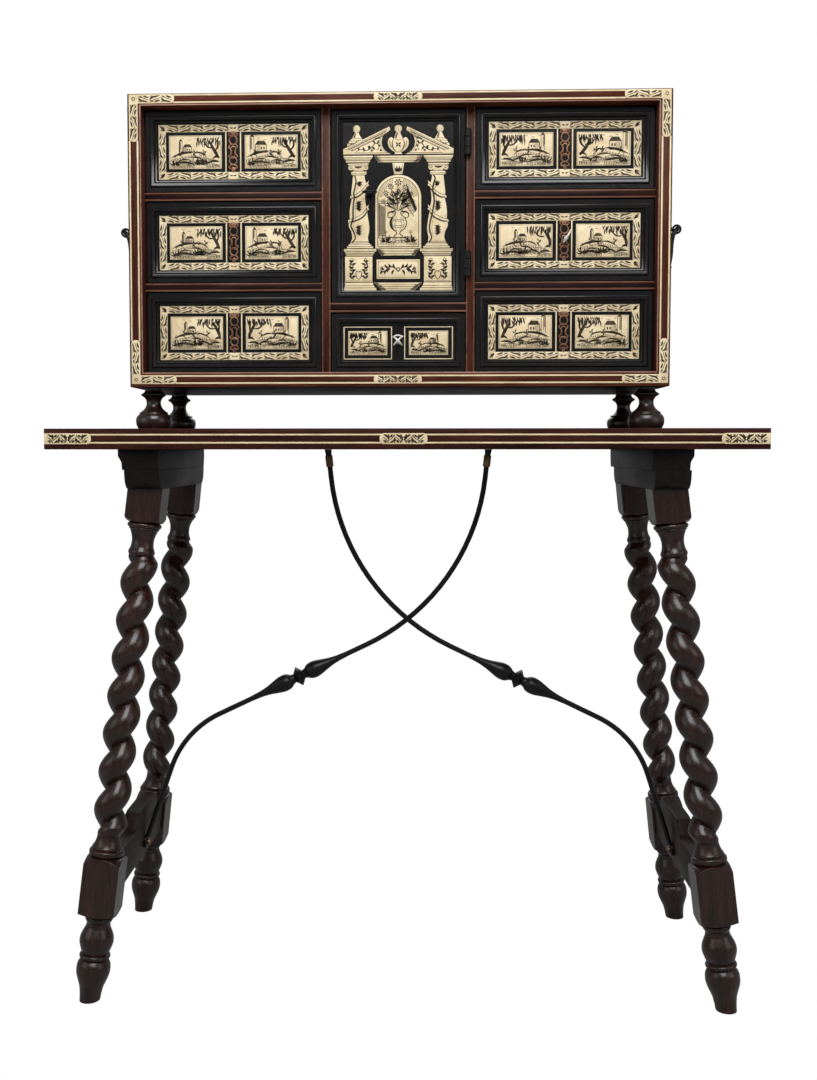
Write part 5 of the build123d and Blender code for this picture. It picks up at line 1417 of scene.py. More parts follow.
@dataclass
class Drawer:
    """One drawer: panelled front, bone and engraving, lock and lined tray."""

    name: str
    x0: float
    x1: float
    z0: float
    z1: float
    seed: int
    small: bool = False

    @property
    def middle(self) -> Pair:
        """The middle of the front."""
        return (self.x0 + self.x1) / 2, (self.z0 + self.z1) / 2

    def build(self) -> None:
        """Make and dress the drawer."""
        x, z = self.middle
        front = carve(PanelledFront(self.x0, self.x1, self.z0, self.z1).board(), key_bore(x, z, *BORE_SPAN))
        deliver([front], f"{self.name}_panel", self.name, EBONY, (f"{self.name}_front",), 30)
        self.tray()
        bone, burin = (self.small_inlay if self.small else self.large_inlay)(x, z)
        deliver(bone, f"{self.name}_bone", self.name, BONE, (f"{self.name}_inlay",))
        burin.piece(f"{self.name}_engraving", self.name)
        lock = (f"{self.name}_lock",)
        deliver([lock_case(x, z, PANEL_BACK)], f"{self.name}_lock_case", self.name, IRON, lock if self.small else ())
        if not self.small:
            deliver(Escutcheon(x, z).parts(), f"{self.name}_escutcheon", self.name, BRASS, lock, 50)

    def tray(self) -> None:
        """Make the drawer's box: sides lapped by its front, a back and a bottom."""
        wall, rim, floor, rear = 8.0, self.z1 - 10, self.z0 + 5, 71.0
        near, far = self.x0 + wall, self.x1 - wall
        parts = [block((self.x0, PANEL_BACK, self.z0), (near, rear, rim), 0.5),
                 block((far, PANEL_BACK, self.z0), (self.x1, rear, rim), 0.5),
                 block((near, rear - wall, floor), (far, rear, rim), 0.4),
                 block((near, PANEL_BACK, self.z0), (far, rear, floor), 0.2)]
        deliver(parts, f"{self.name}_box", self.name, LINING_WOOD, (f"{self.name}_tray",))

    def large_inlay(self, x: float, z: float) -> tuple[list[Piece], Burin]:
        """A scrolled border, two views and the lines beside the lock."""
        face, rear = FIELD_FRONT - BONE_RISE, FIELD_FRONT + 1
        burin = Burin(face, self.seed)
        wide, high, band = 106.3, 38.3, 10.2
        inner_x, inner_z = wide - band, high - band
        bone = []

        def at(across: float, up: float) -> Pair:
            """A point from the front's middle."""
            return (x + across, z + up)

        for way in BOTH:
            for edge in ([(-wide, way * high), (wide, way * high), (inner_x, way * inner_z), (-inner_x, way * inner_z)],
                         [(way * wide, -high), (way * wide, high), (way * inner_x, inner_z),
                          (way * inner_x, -inner_z)]):
                bone.append(plate([at(*point) for point in edge], face, 1.0, 0.12))
            row, column = way * (high - band / 2), way * (wide - band / 2)
            for side in BOTH:
                burin.scroll(at(side * 6, row), at(side * (inner_x - 1), row), band * 0.46, 5, side * way)
                burin.leaf(at(side * (inner_x + 1.2), way * (inner_z + 1.2)),
                           at(side * (wide - 1.2), way * (high - 1.2)), 1.7, side * way * 0.5)
                for bend in BOTH:
                    burin.leaf(at(side * (inner_x + 1.5), way * (inner_z + 1.5)),
                               at(side * (wide - 3.4 + bend * 2.2), way * (high - 3.4 - bend * 2.2)), 0.7, bend * 0.6)
            burin.scroll(at(column, 1 - inner_z), at(column, inner_z - 1), band * 0.46, 3, way)
            burin.leaf(at(0, row), at(-5, row + 1.5), 1.0, 0.8)
            burin.leaf(at(0, row), at(5, row + 1.5), 1.0, -0.8)
            line, view = x + way * 10.5, x + way * 54
            bone.append(block((line - 0.85, face, z - inner_z + 0.2), (line + 0.85, rear, z + inner_z - 0.2), 0.15))
            bone.append(block((view - 37.5, face, z - 23.25), (view + 37.5, rear, z + 23.25), 0.2))
            burin.landscape(view, z, 75, 46.5)
        return bone, burin

    def small_inlay(self, x: float, z: float) -> tuple[list[Piece], Burin]:
        """Two small views, each in a fine bone frame."""
        face, rear = FIELD_FRONT - BONE_RISE, FIELD_FRONT + 1
        burin = Burin(face, self.seed)
        wide, high, line = 34.5, 23.2, 1.3
        bone = []
        for middle in (x - 43.2, x + 43.2):
            bone.append(block((middle - 27.75, face, z - 17), (middle + 27.75, rear, z + 17), 0.2))
            for x0, x1, z0, z1 in ((-wide, wide, high - line, high), (-wide, wide, -high, line - high),
                                   (-wide, line - wide, line - high, high - line),
                                   (wide - line, wide, line - high, high - line)):
                bone.append(block((middle + x0, face, z + z0), (middle + x1, rear, z + z1), 0.12))
            burin.landscape(middle, z, 55.5, 34)
        return bone, burin


# The door
@dataclass
class Facade:
    """The bone architecture let into the door.

    Its points run outwards from the middle line and upwards from the cabinet's underside.
    """

    face: float = FIELD_FRONT - 0.8
    niche_half: float = 32.4
    niche_sill: float = 196.6
    niche_crown: float = 299.2
    weight: float = 1.5
    side: int = 1
    bone: list[Piece] = field(default_factory=list)
    burin: Burin = field(init=False)

    def __post_init__(self) -> None:
        """Set the engraver on the bone's face."""
        self.burin = Burin(self.face, 5)

    def sides(self) -> Iterator[None]:
        """Work on the left half, then on the right one, and leave the right one set."""
        for self.side in BOTH:
            yield

    def spots(self, points: Sequence[Pair]) -> list[Pair]:
        """Points brought to the cabinet, on the half that is worked on."""
        return [(CENTER_X + self.side * x, CABINET_BASE + z) for x, z in points]

    def inlay(self, *points: Pair) -> None:
        """Lay one flat piece."""
        self.bone.append(plate(self.spots(points), self.face, 1.0, 0.15))

    def taper(self, low_half: float, high_half: float, low: float, high: float) -> None:
        """Lay a middle piece whose ends slant."""
        self.inlay((-low_half, low), (low_half, low), (high_half, high), (-high_half, high))

    def cut(self, width: float, *points: Pair, ends: float = 1.0) -> None:
        """Engrave one line."""
        self.burin.stroke(self.spots(points), width * self.weight, ends)

    def rules(self, *rows: tuple[float, float, float, float]) -> None:
        """Engrave level lines, each from its height, its two ends and its width."""
        for z, x0, x1, width in rows:
            self.cut(width, (x0, z), (x1, z))

    def border(self, width: float, line: list[Pair]) -> None:
        """Engrave a closed outline, span by span."""
        for a, b in zip(line, line[1:] + line[:1]):
            self.cut(width, a, b)

    def dark(self, *points: Pair) -> None:
        """Engrave one filled area."""
        self.burin.patch(self.spots(points))

    def leaf(self, base: Pair, tip: Pair, belly: float, sway: float = 0.0) -> None:
        """Engrave one leaf."""
        start, end = self.spots((base, tip))
        self.burin.leaf(start, end, belly * self.weight, sway * self.side)

    def flower(self, spot: Pair, size: float, petals: int) -> None:
        """Engrave one flower."""
        self.burin.flower(self.spots([spot])[0], size, petals)

    def ring(self, centre: Pair, radius: float, count: int = 20) -> list[Pair]:
        """Points round a circle."""
        turns = [2 * math.pi * n / count for n in range(count)]
        return [(centre[0] + math.cos(a) * radius, centre[1] + math.sin(a) * radius) for a in turns]

    def arch(self, inset: float) -> list[Pair]:
        """The niche's outline, drawn in by an inset."""
        half = self.niche_half - inset
        spring = self.niche_crown - self.niche_half
        turns = [math.pi * n / 24 for n in range(25)]
        head = [(math.cos(a) * half, spring + math.sin(a) * half) for a in turns]
        foot = self.niche_sill + inset * 0.6
        return [(half, foot), *head, (-half, foot)]

    def fade(self, low_half: float, high_half: float, low: float, high: float) -> None:
        """Shade the slanted end of a middle piece with fine lines that run in from its edge."""
        count = int((high - low) / 0.62)
        for n in range(count):
            t = (n + 0.5) / count
            edge, level = low_half + (high_half - low_half) * t, low + (high - low) * t
            long = self.burin.hand.uniform(3.0, 7.5)
            self.cut(0.36, (edge, level), (edge - long, level), ends=0.9)

    def build_pedestals(self) -> None:
        """Plinth, die with a plant scroll and cornice on both sides."""
        for _ in self.sides():
            self.inlay((31, 137.4), (77, 137.4), (77, 140.6), (75.9, 142.4), (75.3, 145.2), (75.9, 148.4),
                       (36, 148.4), (35.4, 145.4), (33.4, 142.4), (31, 140.4))
            self.inlay((36.6, 149.6), (75.4, 149.6), (75.4, 185.2), (36.6, 185.2))
            self.inlay((36.4, 186.3), (73.6, 186.3), (74.6, 188.8), (75.4, 191.8), (77, 192.2), (77, 195.8),
                       (31, 195.8), (31, 192.4), (33, 191.6), (34.8, 188.8))
            self.rules((141.2, 31, 76.8, 0.5), (144.2, 35, 75, 0.4), (192.0, 32, 77, 0.6), (189.2, 34.6, 75, 0.5),
                       (187.8, 35.4, 74, 0.35), (194.2, 31, 77, 0.3), (151, 38, 74, 0.3))
            for way in BOTH:
                x = 56 + way * 9.6
                self.cut(1.0, (x - way * 3, 152.6), (x + way * 3.4, 157.5), (x - way * 2.6, 165),
                         (x + way * 3.0, 172.4), (x - way * 0.6, 180), ends=0.4)
                for n, z in enumerate((154.2, 158.6, 163, 167.4, 171.8, 176)):
                    out = (4.8 if n % 2 else 6.6) * (1 if n % 2 else -1) * way
                    self.leaf((x, z), (x + out, z + 3.6), 1.15, out * 0.22)
                    self.leaf((x, z + 1), (x - out * 0.62, z + 3.8), 0.8, -out * 0.14)
                self.flower((x, 181), 2.2, 6)
                self.cut(0.8, (56, 152.6), (56 + way * 3.4, 157), (56 + way * 4.0, 162.5), (56 + way * 1.4, 165),
                         (56 + way * 0.8, 162.4), ends=0.5)

    def build_base(self) -> None:
        """The middle plinth, its panel and the sill's cornice."""
        self.taper(23, 34.4, 137.4, 148.4)
        self.taper(30.6, 30.6, 153.8, 180.8)
        self.taper(23.6, 29.8, 186.6, 195.6)
        self.rules((140.2, -25.5, 25.5, 0.35), (143, -28.5, 28.5, 0.45), (145.8, -31.4, 31.4, 0.3),
                   (189, -25.4, 25.4, 0.5), (192, -27.4, 27.4, 0.35), (193.6, -28.4, 28.4, 0.3))
        for _ in self.sides():
            self.fade(22.8, 34.2, 137.8, 148.2)
            self.fade(23.4, 29.6, 186.9, 195.4)
        self.border(0.35, [(-28.4, 156), (28.4, 156), (28.4, 178.6), (-28.4, 178.6)])
        for _ in self.sides():
            self.cut(1.2, (0, 164), (6, 169.5), (13, 170), (19, 164), (24, 165.5), (25, 170), ends=0.4)
            for x, z, dx, dz in ((4, 168, 3, 7.4), (9, 170, 4.6, 5.4), (14, 169.4, 5.6, 5), (19.6, 165.6, 3.6, 6.4),
                                 (5.5, 166.6, 3.4, -8), (11, 168.6, 5, -6.4), (16, 166.4, 3.6, -7),
                                 (21, 164.4, 4.6, -4.6)):
                self.leaf((x, z), (x + dx, z + dz), 1.1, -1.2 if dz > 0 else 1.2)
        self.flower((0, 167), 3.0, 8)

    def volute(self, x: float, way: int) -> list[Pair]:
        """A capital's scroll at x in order round it, without the quarter that the capital covers."""
        z = 309.6
        kept = [p for p in self.ring((x, z), 3.7) if way * (p[0] - x) > 0 or p[1] < z]
        start = -math.pi if way > 0 else 0.0
        return sorted(kept, key=lambda p: (math.atan2(p[1] - z, p[0] - x) - start) % (2 * math.pi))

    def build_columns(self) -> None:
        """Two winding columns with ribbons, bases and scrolled capitals, shaded at their left."""
        outer = [(67.8, 204.6), (65.2, 211), (66.4, 220), (70.2, 228.5), (68.6, 237), (68.9, 247), (67.6, 258),
                 (65.4, 268), (66.4, 274), (65.6, 282), (64.6, 291), (63.8, 298.8)]
        inner = [(47.6, 298.8), (47.2, 294), (45.8, 288), (45.4, 279), (46.8, 271), (46.6, 262), (44.4, 252),
                 (43.4, 243), (41.6, 232), (41.0, 222), (42.8, 212), (41.8, 204.6)]
        far, near = 67.0, 46.1
        for _ in self.sides():
            self.inlay((35.6, 197), (72.6, 197), (72.6, 199.4), (70.4, 200.2), (70.2, 202.2), (67.8, 203.8),
                       (41, 203.8), (38.6, 202.2), (38.2, 200.2), (35.6, 199.4))
            self.inlay(*flowing(outer, 3), *flowing(inner, 3))
            self.inlay((64.8, 299.6), (66.6, 300.6), (66.8, 302.8), (65.4, 304.2), (46, 304.2), (44.8, 303),
                       (44.8, 300.8), (46.2, 299.6))
            self.inlay((63.2, 305.0), *self.volute(far, 1), (71.2, 313), (71.2, 315.4), (42.2, 315.4), (42.2, 313),
                       *self.volute(near, -1), (49.2, 305.0))
            for x in (far, near):
                turns = [(a * 0.62, 2.7 - a * 0.2) for a in range(13)]
                self.cut(0.45, *[(x + math.cos(turn) * out, 309.6 + math.sin(turn) * out) for turn, out in turns])
            self.dark((62.8, 311.6), (50.4, 311.6), (52.6, 309.4), (56.6, 308.2), (60.6, 309.4))
            self.rules((313.4, 71, 42.4, 0.45), (199.6, 35.8, 72.4, 0.5), (202.3, 38.6, 70, 0.45),
                       (206.2, 42, 66.6, 0.4), (301.8, 45, 66.6, 0.3))
            self.build_ribbons()
            for spot, low, high in ((56, 215.5, 13.5), (56, 249.5, 13.5), (55, 284, 6)):
                self.vine(spot, low, high)
        for way, rim in ((1, inner), (-1, outer[::-1])):
            line = [(x * way + (2.2 if n in (0, len(rim) - 1) else 4.0 + 0.9 * math.sin(n * 1.3)), z)
                    for n, (x, z) in enumerate(rim)]
            self.cut(1.65, *line, ends=0.75)
            self.cut(0.35, *[(x + 3.2, z) for x, z in line[1:-1]], ends=0.5)

    def build_ribbons(self) -> None:
        """The two bands that wind round a column, with their leaf-like ends."""
        for lean, z in ((0, 271.4), (3, 237.8)):
            self.cut(0.5, (66.6 + lean, z), (60 + lean, z + 1), (52, z + 6.6), (44.4, z + 15.2))
            self.cut(1.5, (66.2 + lean, z - 4), (59 + lean, z - 3), (50.8, z + 2.2), (43.8, z + 10.4), ends=0.7)
            self.inlay((46.4, z + 15.6), (41.6, z + 20), (43.0, z + 16), (41.4, z + 13.4), (45.4, z + 10.8))
            self.inlay((66 + lean, z - 0.4), (68.4 + lean, z - 2.4), (67.6 + lean, z - 4.8), (65.4 + lean, z - 4.4))

    def vine(self, x: float, z: float, height: float) -> None:
        """A little climbing plant on a shaft."""
        self.cut(0.6, (x - 3, z - 2), (x + 2.6, z + height * 0.28), (x - 2.6, z + height * 0.62),
                 (x + 1.4, z + height + 1), ends=0.5)
        for n in range(int(height / 1.7)):
            way = 1 if n % 2 else -1
            rise = z - 1 + n * 1.8
            self.leaf((x - way * 0.6, rise), (x + way * 5.0, rise + 2.6), 0.85, way * 1.3)
            self.leaf((x + way * 1.2, rise + 0.6), (x - way * 3.6, rise + 2.6), 0.6, -way * 0.9)

    def build_entablature(self) -> None:
        """The side blocks, the middle architrave and the keystone."""
        for _ in self.sides():
            self.inlay((40.4, 317), (73.8, 317), (74, 319.8), (75.4, 321.8), (77, 323.2), (77.2, 326.2), (36, 326.2),
                       (36.4, 323.4), (38.2, 321.8), (39.8, 319.8))
            self.rules((323.4, 36.4, 77, 0.5), (321.4, 38.6, 75.4, 0.35), (319.6, 40, 74, 0.5))
            self.fade(28.4, 34.2, 317.1, 325.7)
        self.taper(28.6, 34.4, 316.8, 325.9)
        self.rules((323.6, -31.4, 31.4, 0.5), (321.2, -29.6, 29.6, 0.35), (319.2, -28, 28, 0.45))
        self.taper(5.8, 8.2, 300.4, 315.8)
        for _ in self.sides():
            self.leaf((0, 303.4), (4.6, 309.4), 1.1, -1.0)
            self.leaf((0, 304), (2.2, 312.4), 0.9, -0.6)
            self.cut(0.4, (6.2, 314), (4.4, 302))
        self.leaf((0, 303), (0, 308.4), 0.8)

    def build_pediment(self) -> None:
        """The broken pediment with its scrollwork, pinnacles and urn."""
        hollow = [(9.6, 328.2), (14, 329.6), (19.4, 333.6), (22.8, 339), (23.8, 345), (22.6, 351), (20.2, 356)]
        for _ in self.sides():
            self.inlay((77.6, 328.2), (77.8, 335.4), (12.4, 366.6), (11.2, 361.8), (16.4, 358), *hollow[::-1])
            for drop, width in ((2.2, 0.4), (4.2, 0.9), (6.6, 0.35), (8.0, 0.6)):
                self.cut(width, (77 - drop * 1.4, 335.5 - drop * 0.34), (15.5 + drop * 0.5, 365.1 - drop * 1.355))
            self.cut(0.45, (62, 330), (12, 330))
            self.cut(0.4, *[(x + 2.2, z + 0.6) for x, z in hollow[1:]])
            self.cut(0.9, (60, 332), (52, 335), (45, 333.4), (38, 337), (33, 343), (28.6, 342), (27.6, 336),
                     (31, 333.6), ends=0.4)
            for x, z, dx, dz in ((55, 333.6, 3, 3), (50, 334.4, -1, 4), (46, 334.2, 3.6, -2.2), (42, 335, -1, 5),
                                 (39, 336.6, 4.6, 3), (36, 339, -3.6, -4.6), (33, 343, 3.6, 4), (30, 343, -2.6, 5),
                                 (28, 339, -2.4, 3), (35, 334, 4, -2.4), (26.4, 349, 3, 3.4), (26, 335.4, -3.4, -2.6),
                                 (29, 350.4, 4.4, -2.4)):
                self.leaf((x, z), (x + dx, z + dz), 1.0, 0.7)
            self.inlay((72, 339.2), (72, 343.2), (69.6, 344.6), (68.8, 347.2), (66.4, 348.8), (65, 350.2),
                       (62.4, 355.6), (61.6, 358.2), (56, 358.2), (55, 355.4), (51.6, 350.2), (50.6, 348.9))
            self.inlay(*self.ring((58.8, 363.4), 5.1))
            self.cut(0.5, (71.6, 343.2), (60, 343.6))
            self.cut(0.4, (68.6, 346.6), (54, 347.4))
            self.cut(0.4, (64.6, 350), (52, 350))
            for x, z in ((68, 341.6), (64.4, 341.6), (61, 345)):
                self.leaf((x, z), (x - 2.6, z + 1.4), 0.5, 0.3)
        for x in (-58.8, 58.8):
            self.dark((x - 2.4, 357.6), (x - 0.6, 357.6), (x - 2.2, 350.8), (x - 4.6, 350.8))
            self.cut(0.5, (x - 3.4, 360.6), (x - 4.4, 363.6), (x - 3, 366.6), ends=0.3)
        right = flowing([(2.6, 358.4), (3.8, 355.6), (5.4, 351.6), (6.6, 349.4), (9.4, 351.4), (12.6, 350.4),
                         (14.6, 346.4), (14.4, 341.4), (12.2, 336.6), (8.6, 333.2), (5.2, 331.4), (4.4, 329.8),
                         (5.8, 328.2)], 3)
        self.inlay(*right, *[(-x, z) for x, z in right[::-1]])
        self.inlay(*self.ring((0, 363.4), 5.2))
        for _ in self.sides():
            self.cut(1.1, (6.4, 349.6), (8.6, 343), (6.6, 335.6), (3.4, 332.2), ends=0.3)
            self.cut(0.7, (12.2, 347.4), (11.4, 342), (8.8, 336.6), ends=0.3)
            self.leaf((0, 341.6), (3.4, 345), 0.8, -0.6)
            self.leaf((0, 341), (3.2, 337.4), 0.8, 0.6)
        self.dark((-2, 358), (-0.4, 358), (-2.6, 350), (-5.4, 349.4))
        self.cut(0.5, (-5, 349), (0, 347.6), (5, 349), ends=0.4)
        self.cut(0.6, (-4.6, 331.6), (0, 330.8), (4.6, 331.6), ends=0.6)

    def build_niche(self) -> None:
        """The arched plate, its inner line and a vase of flowers under a shaded sky."""
        self.inlay(*self.arch(0))
        self.border(0.65, self.arch(3.5))
        sill, burin = self.niche_sill, self.burin
        x, low = CENTER_X, CABINET_BASE + sill
        burin.ground(x - 27, x + 27, low + 4.5, 11)
        spring = self.niche_crown - self.niche_half
        for n in range(34):
            angle = math.radians(8 + 164 * n / 33)
            if 74 < math.degrees(angle) < 106:
                continue
            far, near = 28.2, 28.2 - burin.hand.uniform(4.5, 9.5)
            across, up = math.cos(angle), math.sin(angle)
            self.cut(0.45, (across * far, spring + up * far), (across * near - 1.4, spring + up * near - 1.2),
                     ends=0.5)
        self.build_vase()
        for n in range(9):
            self.cut(0.4, (-26.6 + n * 0.85, sill + 18), (-26.6 + n * 0.85, sill + 62 - n * 0.5), ends=0.9)
        for edge in (-27.4, -18.6):
            self.cut(0.7, (edge, sill + 14), (edge, sill + 64))
        self.rules(*[(sill + level, -28, -17.8, 0.6) for level in (14.4, 17.4, 63, 66)])
        for n in range(16):
            a, b = 26.8 - n * 1.45, sill + 60 + n * 2.0
            self.cut(0.55, (a, b), (a - 5.6, b - 9.5), (a - 5, b - 17), ends=0.3)
        for n in range(12):
            self.leaf((25.6 - n * 1.1, sill + 58 + n * 2.6), (22.5 - n * 1.1, sill + 50 + n * 2.2), 0.9, 0.8)
        for bx, bz, size in ((0, 92, 4.2), (-10.5, 86, 3.4), (10.5, 85, 3.5), (-17.5, 77, 3.2), (17, 76, 3.2),
                             (-8, 75.5, 3.4), (8.5, 74, 3.4), (0, 79, 3.2), (-21, 65.5, 2.8), (20.5, 65, 2.8),
                             (-13.4, 65.5, 2.8), (13.4, 64.5, 2.8), (0, 67, 2.8)):
            head = (bx, sill + bz)
            knee = (bx * 0.5 + (1.5 if bx > 0 else -1.5), sill + 53 + (bz - 53) * 0.55)
            self.cut(0.55, (bx * 0.12, sill + 53), knee, head, ends=0.7)
            for way in BOTH:
                self.leaf(knee, (knee[0] + way * 4.6, knee[1] + 3.6), 0.7, way * 0.9)
            self.flower(head, size * 1.12, 7)
            self.dark(*self.ring(head, size * 0.3, 8))
        for _ in self.sides():
            burin.shrub((x + self.side * 17.5, low + 9), 12.5, 7)
            for dx, dz, long, rise in ((9, 58, 15, 4), (12, 66, 13, 9), (6, 62, 12, 14), (7, 55, 13, -5),
                                       (3, 70, 8, 14)):
                self.leaf((dx * 0.5, sill + dz - 4), (dx * 0.5 + long, sill + dz + rise - 2), 0.9, 1.6)

    def build_vase(self) -> None:
        """A two-handled vase on a small stand, shaded on its left."""
        sill = self.niche_sill
        half = flowing([(6, 15.4), (5.6, 17.6), (2.4, 20), (3.2, 23), (9.6, 28.4), (11.8, 35.4), (9.6, 42.4),
                        (4.8, 46.6), (3.8, 50), (6.4, 54)], 3)
        for _ in self.sides():
            self.cut(0.9, *[(a, sill + b) for a, b in half])
            self.cut(1.0, (9.4, sill + 43), (14.4, sill + 44), (13.4, sill + 50), (8.6, sill + 50.4),
                     (5.6, sill + 47.6), ends=0.5)
            for reach in (4.2, 7.6):
                self.cut(0.4, (1.6, sill + 23.4), (reach, sill + 30), (reach * 1.04, sill + 37),
                         (reach * 0.5, sill + 45.6), ends=0.3)
        self.dark(*[(-a, sill + b) for a, b in half[9:20]], *[(-a * 0.66 - 1, sill + b) for a, b in half[19:8:-1]])
        for z in (30.5, 33, 39.4, 41.6):
            self.cut(0.45, (-10, sill + z), (0, sill + z - 1.6), (10, sill + z), ends=0.5)
        self.cut(0.9, (-12, sill + 15), (12, sill + 15))
        self.cut(0.45, (-6.4, sill + 54), (0, sill + 52.8), (6.4, sill + 54), ends=0.6)

    def build(self) -> None:
        """Lay and engrave the whole facade."""
        for step in (self.build_pedestals, self.build_base, self.build_columns, self.build_entablature,
                     self.build_pediment, self.build_niche):
            step()
        deliver(self.bone, "door_bone", "door", BONE_UP, ("door_facade",))
        self.burin.piece("door_engraving", "door")


@dataclass
class Hinge:
    """One of the door's two forged hinges."""

    low: float
    axis: Pair = (89.2, -148.3)
    height: float = 34.0
    knuckle: float = 10.0
    gap: float = 0.4
    radius: float = 5.0

    def barrel(self, low: float, high: float) -> Piece:
        """A knuckle bored for the pin, its rims eased."""
        r, bore = self.radius, 2.35
        profile = [(bore, low), (r - 0.6, low), (r, low + 0.6), (r, high - 0.6), (r - 0.6, high), (bore, high)]
        return placed(lathe(profile, 32, True), Matrix.Translation((*self.axis, 0)))

    def leaf(self, x0: float, x1: float, necks: Sequence[Pair]) -> list[Piece]:
        """A leaf let into its edge, and the necks that reach its knuckles."""
        parts = [block((x0, FIELD_FRONT, self.low), (x1, -127, self.low + self.height), 0.2)]
        return parts + [block((x0, self.axis[1] + 2.6, low), (x1, FIELD_FRONT + 1, high), 0.2) for low, high in necks]

    def fixed(self) -> list[Piece]:
        """The stile's half, with the pin and its button ends."""
        top = self.low + self.height
        spans = ((self.low, self.low + self.knuckle), (top - self.knuckle, top))
        pin = [(3.4, self.low - 1.4), (4.4, self.low - 0.6), (4.4, self.low + 0.1), (2, self.low + 0.2), (2, top - 0.2),
               (4.4, top - 0.1), (4.4, top + 0.6), (3.4, top + 1.4)]
        return [self.barrel(*span) for span in spans] + self.leaf(87.5, 88.7, spans) + [
            placed(lathe(pin, 24), Matrix.Translation((*self.axis, 0)))]

    def moving(self) -> list[Piece]:
        """The door's half, with the middle knuckle."""
        span = (self.low + self.knuckle + self.gap, self.low + self.height - self.knuckle - self.gap)
        return [self.barrel(*span)] + self.leaf(85.6, 86.8, (span,))


@dataclass
class Key:
    """A key in its lock: bit, stem with a collar and a flat bow turned about the stem."""

    name: str
    body: str
    node: str
    x: float
    z: float
    reach: float
    turn: float
    finish: Finish
    rear: float = PANEL_BACK
    bow: Pair = (9.7, 5.2)
    wire: float = 1.3
    crossed: bool = False

    def build(self) -> None:
        """Make and dress the key."""
        middle = FIELD_FRONT - self.reach
        tail = self.rear + 6.5
        near = middle + self.bow[1]
        place = along(Vector((self.x, tail, self.z)), Vector((0, -1, 0)), ACROSS)
        long = tail - near
        profile = [(2.1, 0), (2.1, long - 7), (2.9, long - 6.4), (2.9, long - 4.8), (2.1, long - 4.2), (1.7, long)]
        stem = placed(lathe(profile, 24), place)
        turns = [2 * math.pi * n / 36 for n in range(36)]
        ring = [(math.cos(a) * self.bow[0], math.sin(a) * self.bow[1]) for a in turns]
        spin = Matrix.Rotation(-math.radians(self.turn), 3, "Y")
        centre = Vector((self.x, middle, self.z))
        bows = []
        for turn in (46, -46) if self.crossed else (self.turn,):
            tilt = Matrix.Rotation(-math.radians(turn), 3, "Y")
            bows.append(rod([centre + tilt @ Vector((a, b, 0)) for a, b in ring], self.wire, 3, True))
        if self.crossed:
            arc = flowing([(-7.0, 4.6), (-3.6, 6.9), (1.6, 7.4), (7.4, 5.6)], 4)
            bows.append(rod([centre + Vector((x, 0, z)) for x, z in arc], self.wire * 0.9, 3))
        bit = block((-1, 0.5, -7), (1, 3.5, 0), 0.2)
        placed(bit, Matrix.Translation((self.x, tail - 4, self.z)) @ spin.to_4x4())
        deliver([stem, *bows, bit], self.name, self.body, self.finish, (self.node,), 45)


@dataclass
class Door:
    """The door: panelled board, facade, lock, hinge halves and key."""

    x0: float = -103.8
    x1: float = 86.8
    z0: float = 1006.8
    z1: float = 1277.8
    back: float = -117.0
    keyhole: Pair = (-48.3, 1160.0)
    hinge_lows: Pair = (1042.5, 1211.4)

    def build(self) -> None:
        """Make and dress the door and its ironwork."""
        board = PanelledFront(self.x0, self.x1, self.z0, self.z1, self.back).board()
        carve(board, key_bore(*self.keyhole, *BORE_SPAN))
        deliver([board], "door_board", "door", EBONY, ("door_panel", "door_moulding"), 30)
        Facade().build()
        hinges = [Hinge(low) for low in self.hinge_lows]
        iron = [part for hinge in hinges for part in hinge.moving()] + [lock_case(*self.keyhole, self.back)]
        deliver(iron, "door_ironwork", "door", IRON, ("door_irons",), 40)
        deliver([part for hinge in hinges for part in hinge.fixed()], "stile_hinge_halves", CARCASS, IRON,
                ("fixed_hinge_leaves",), 40)
        Key("door_key_forged", "door_key", "door_key", *self.keyhole, 13, 0, IRON, self.back).build()


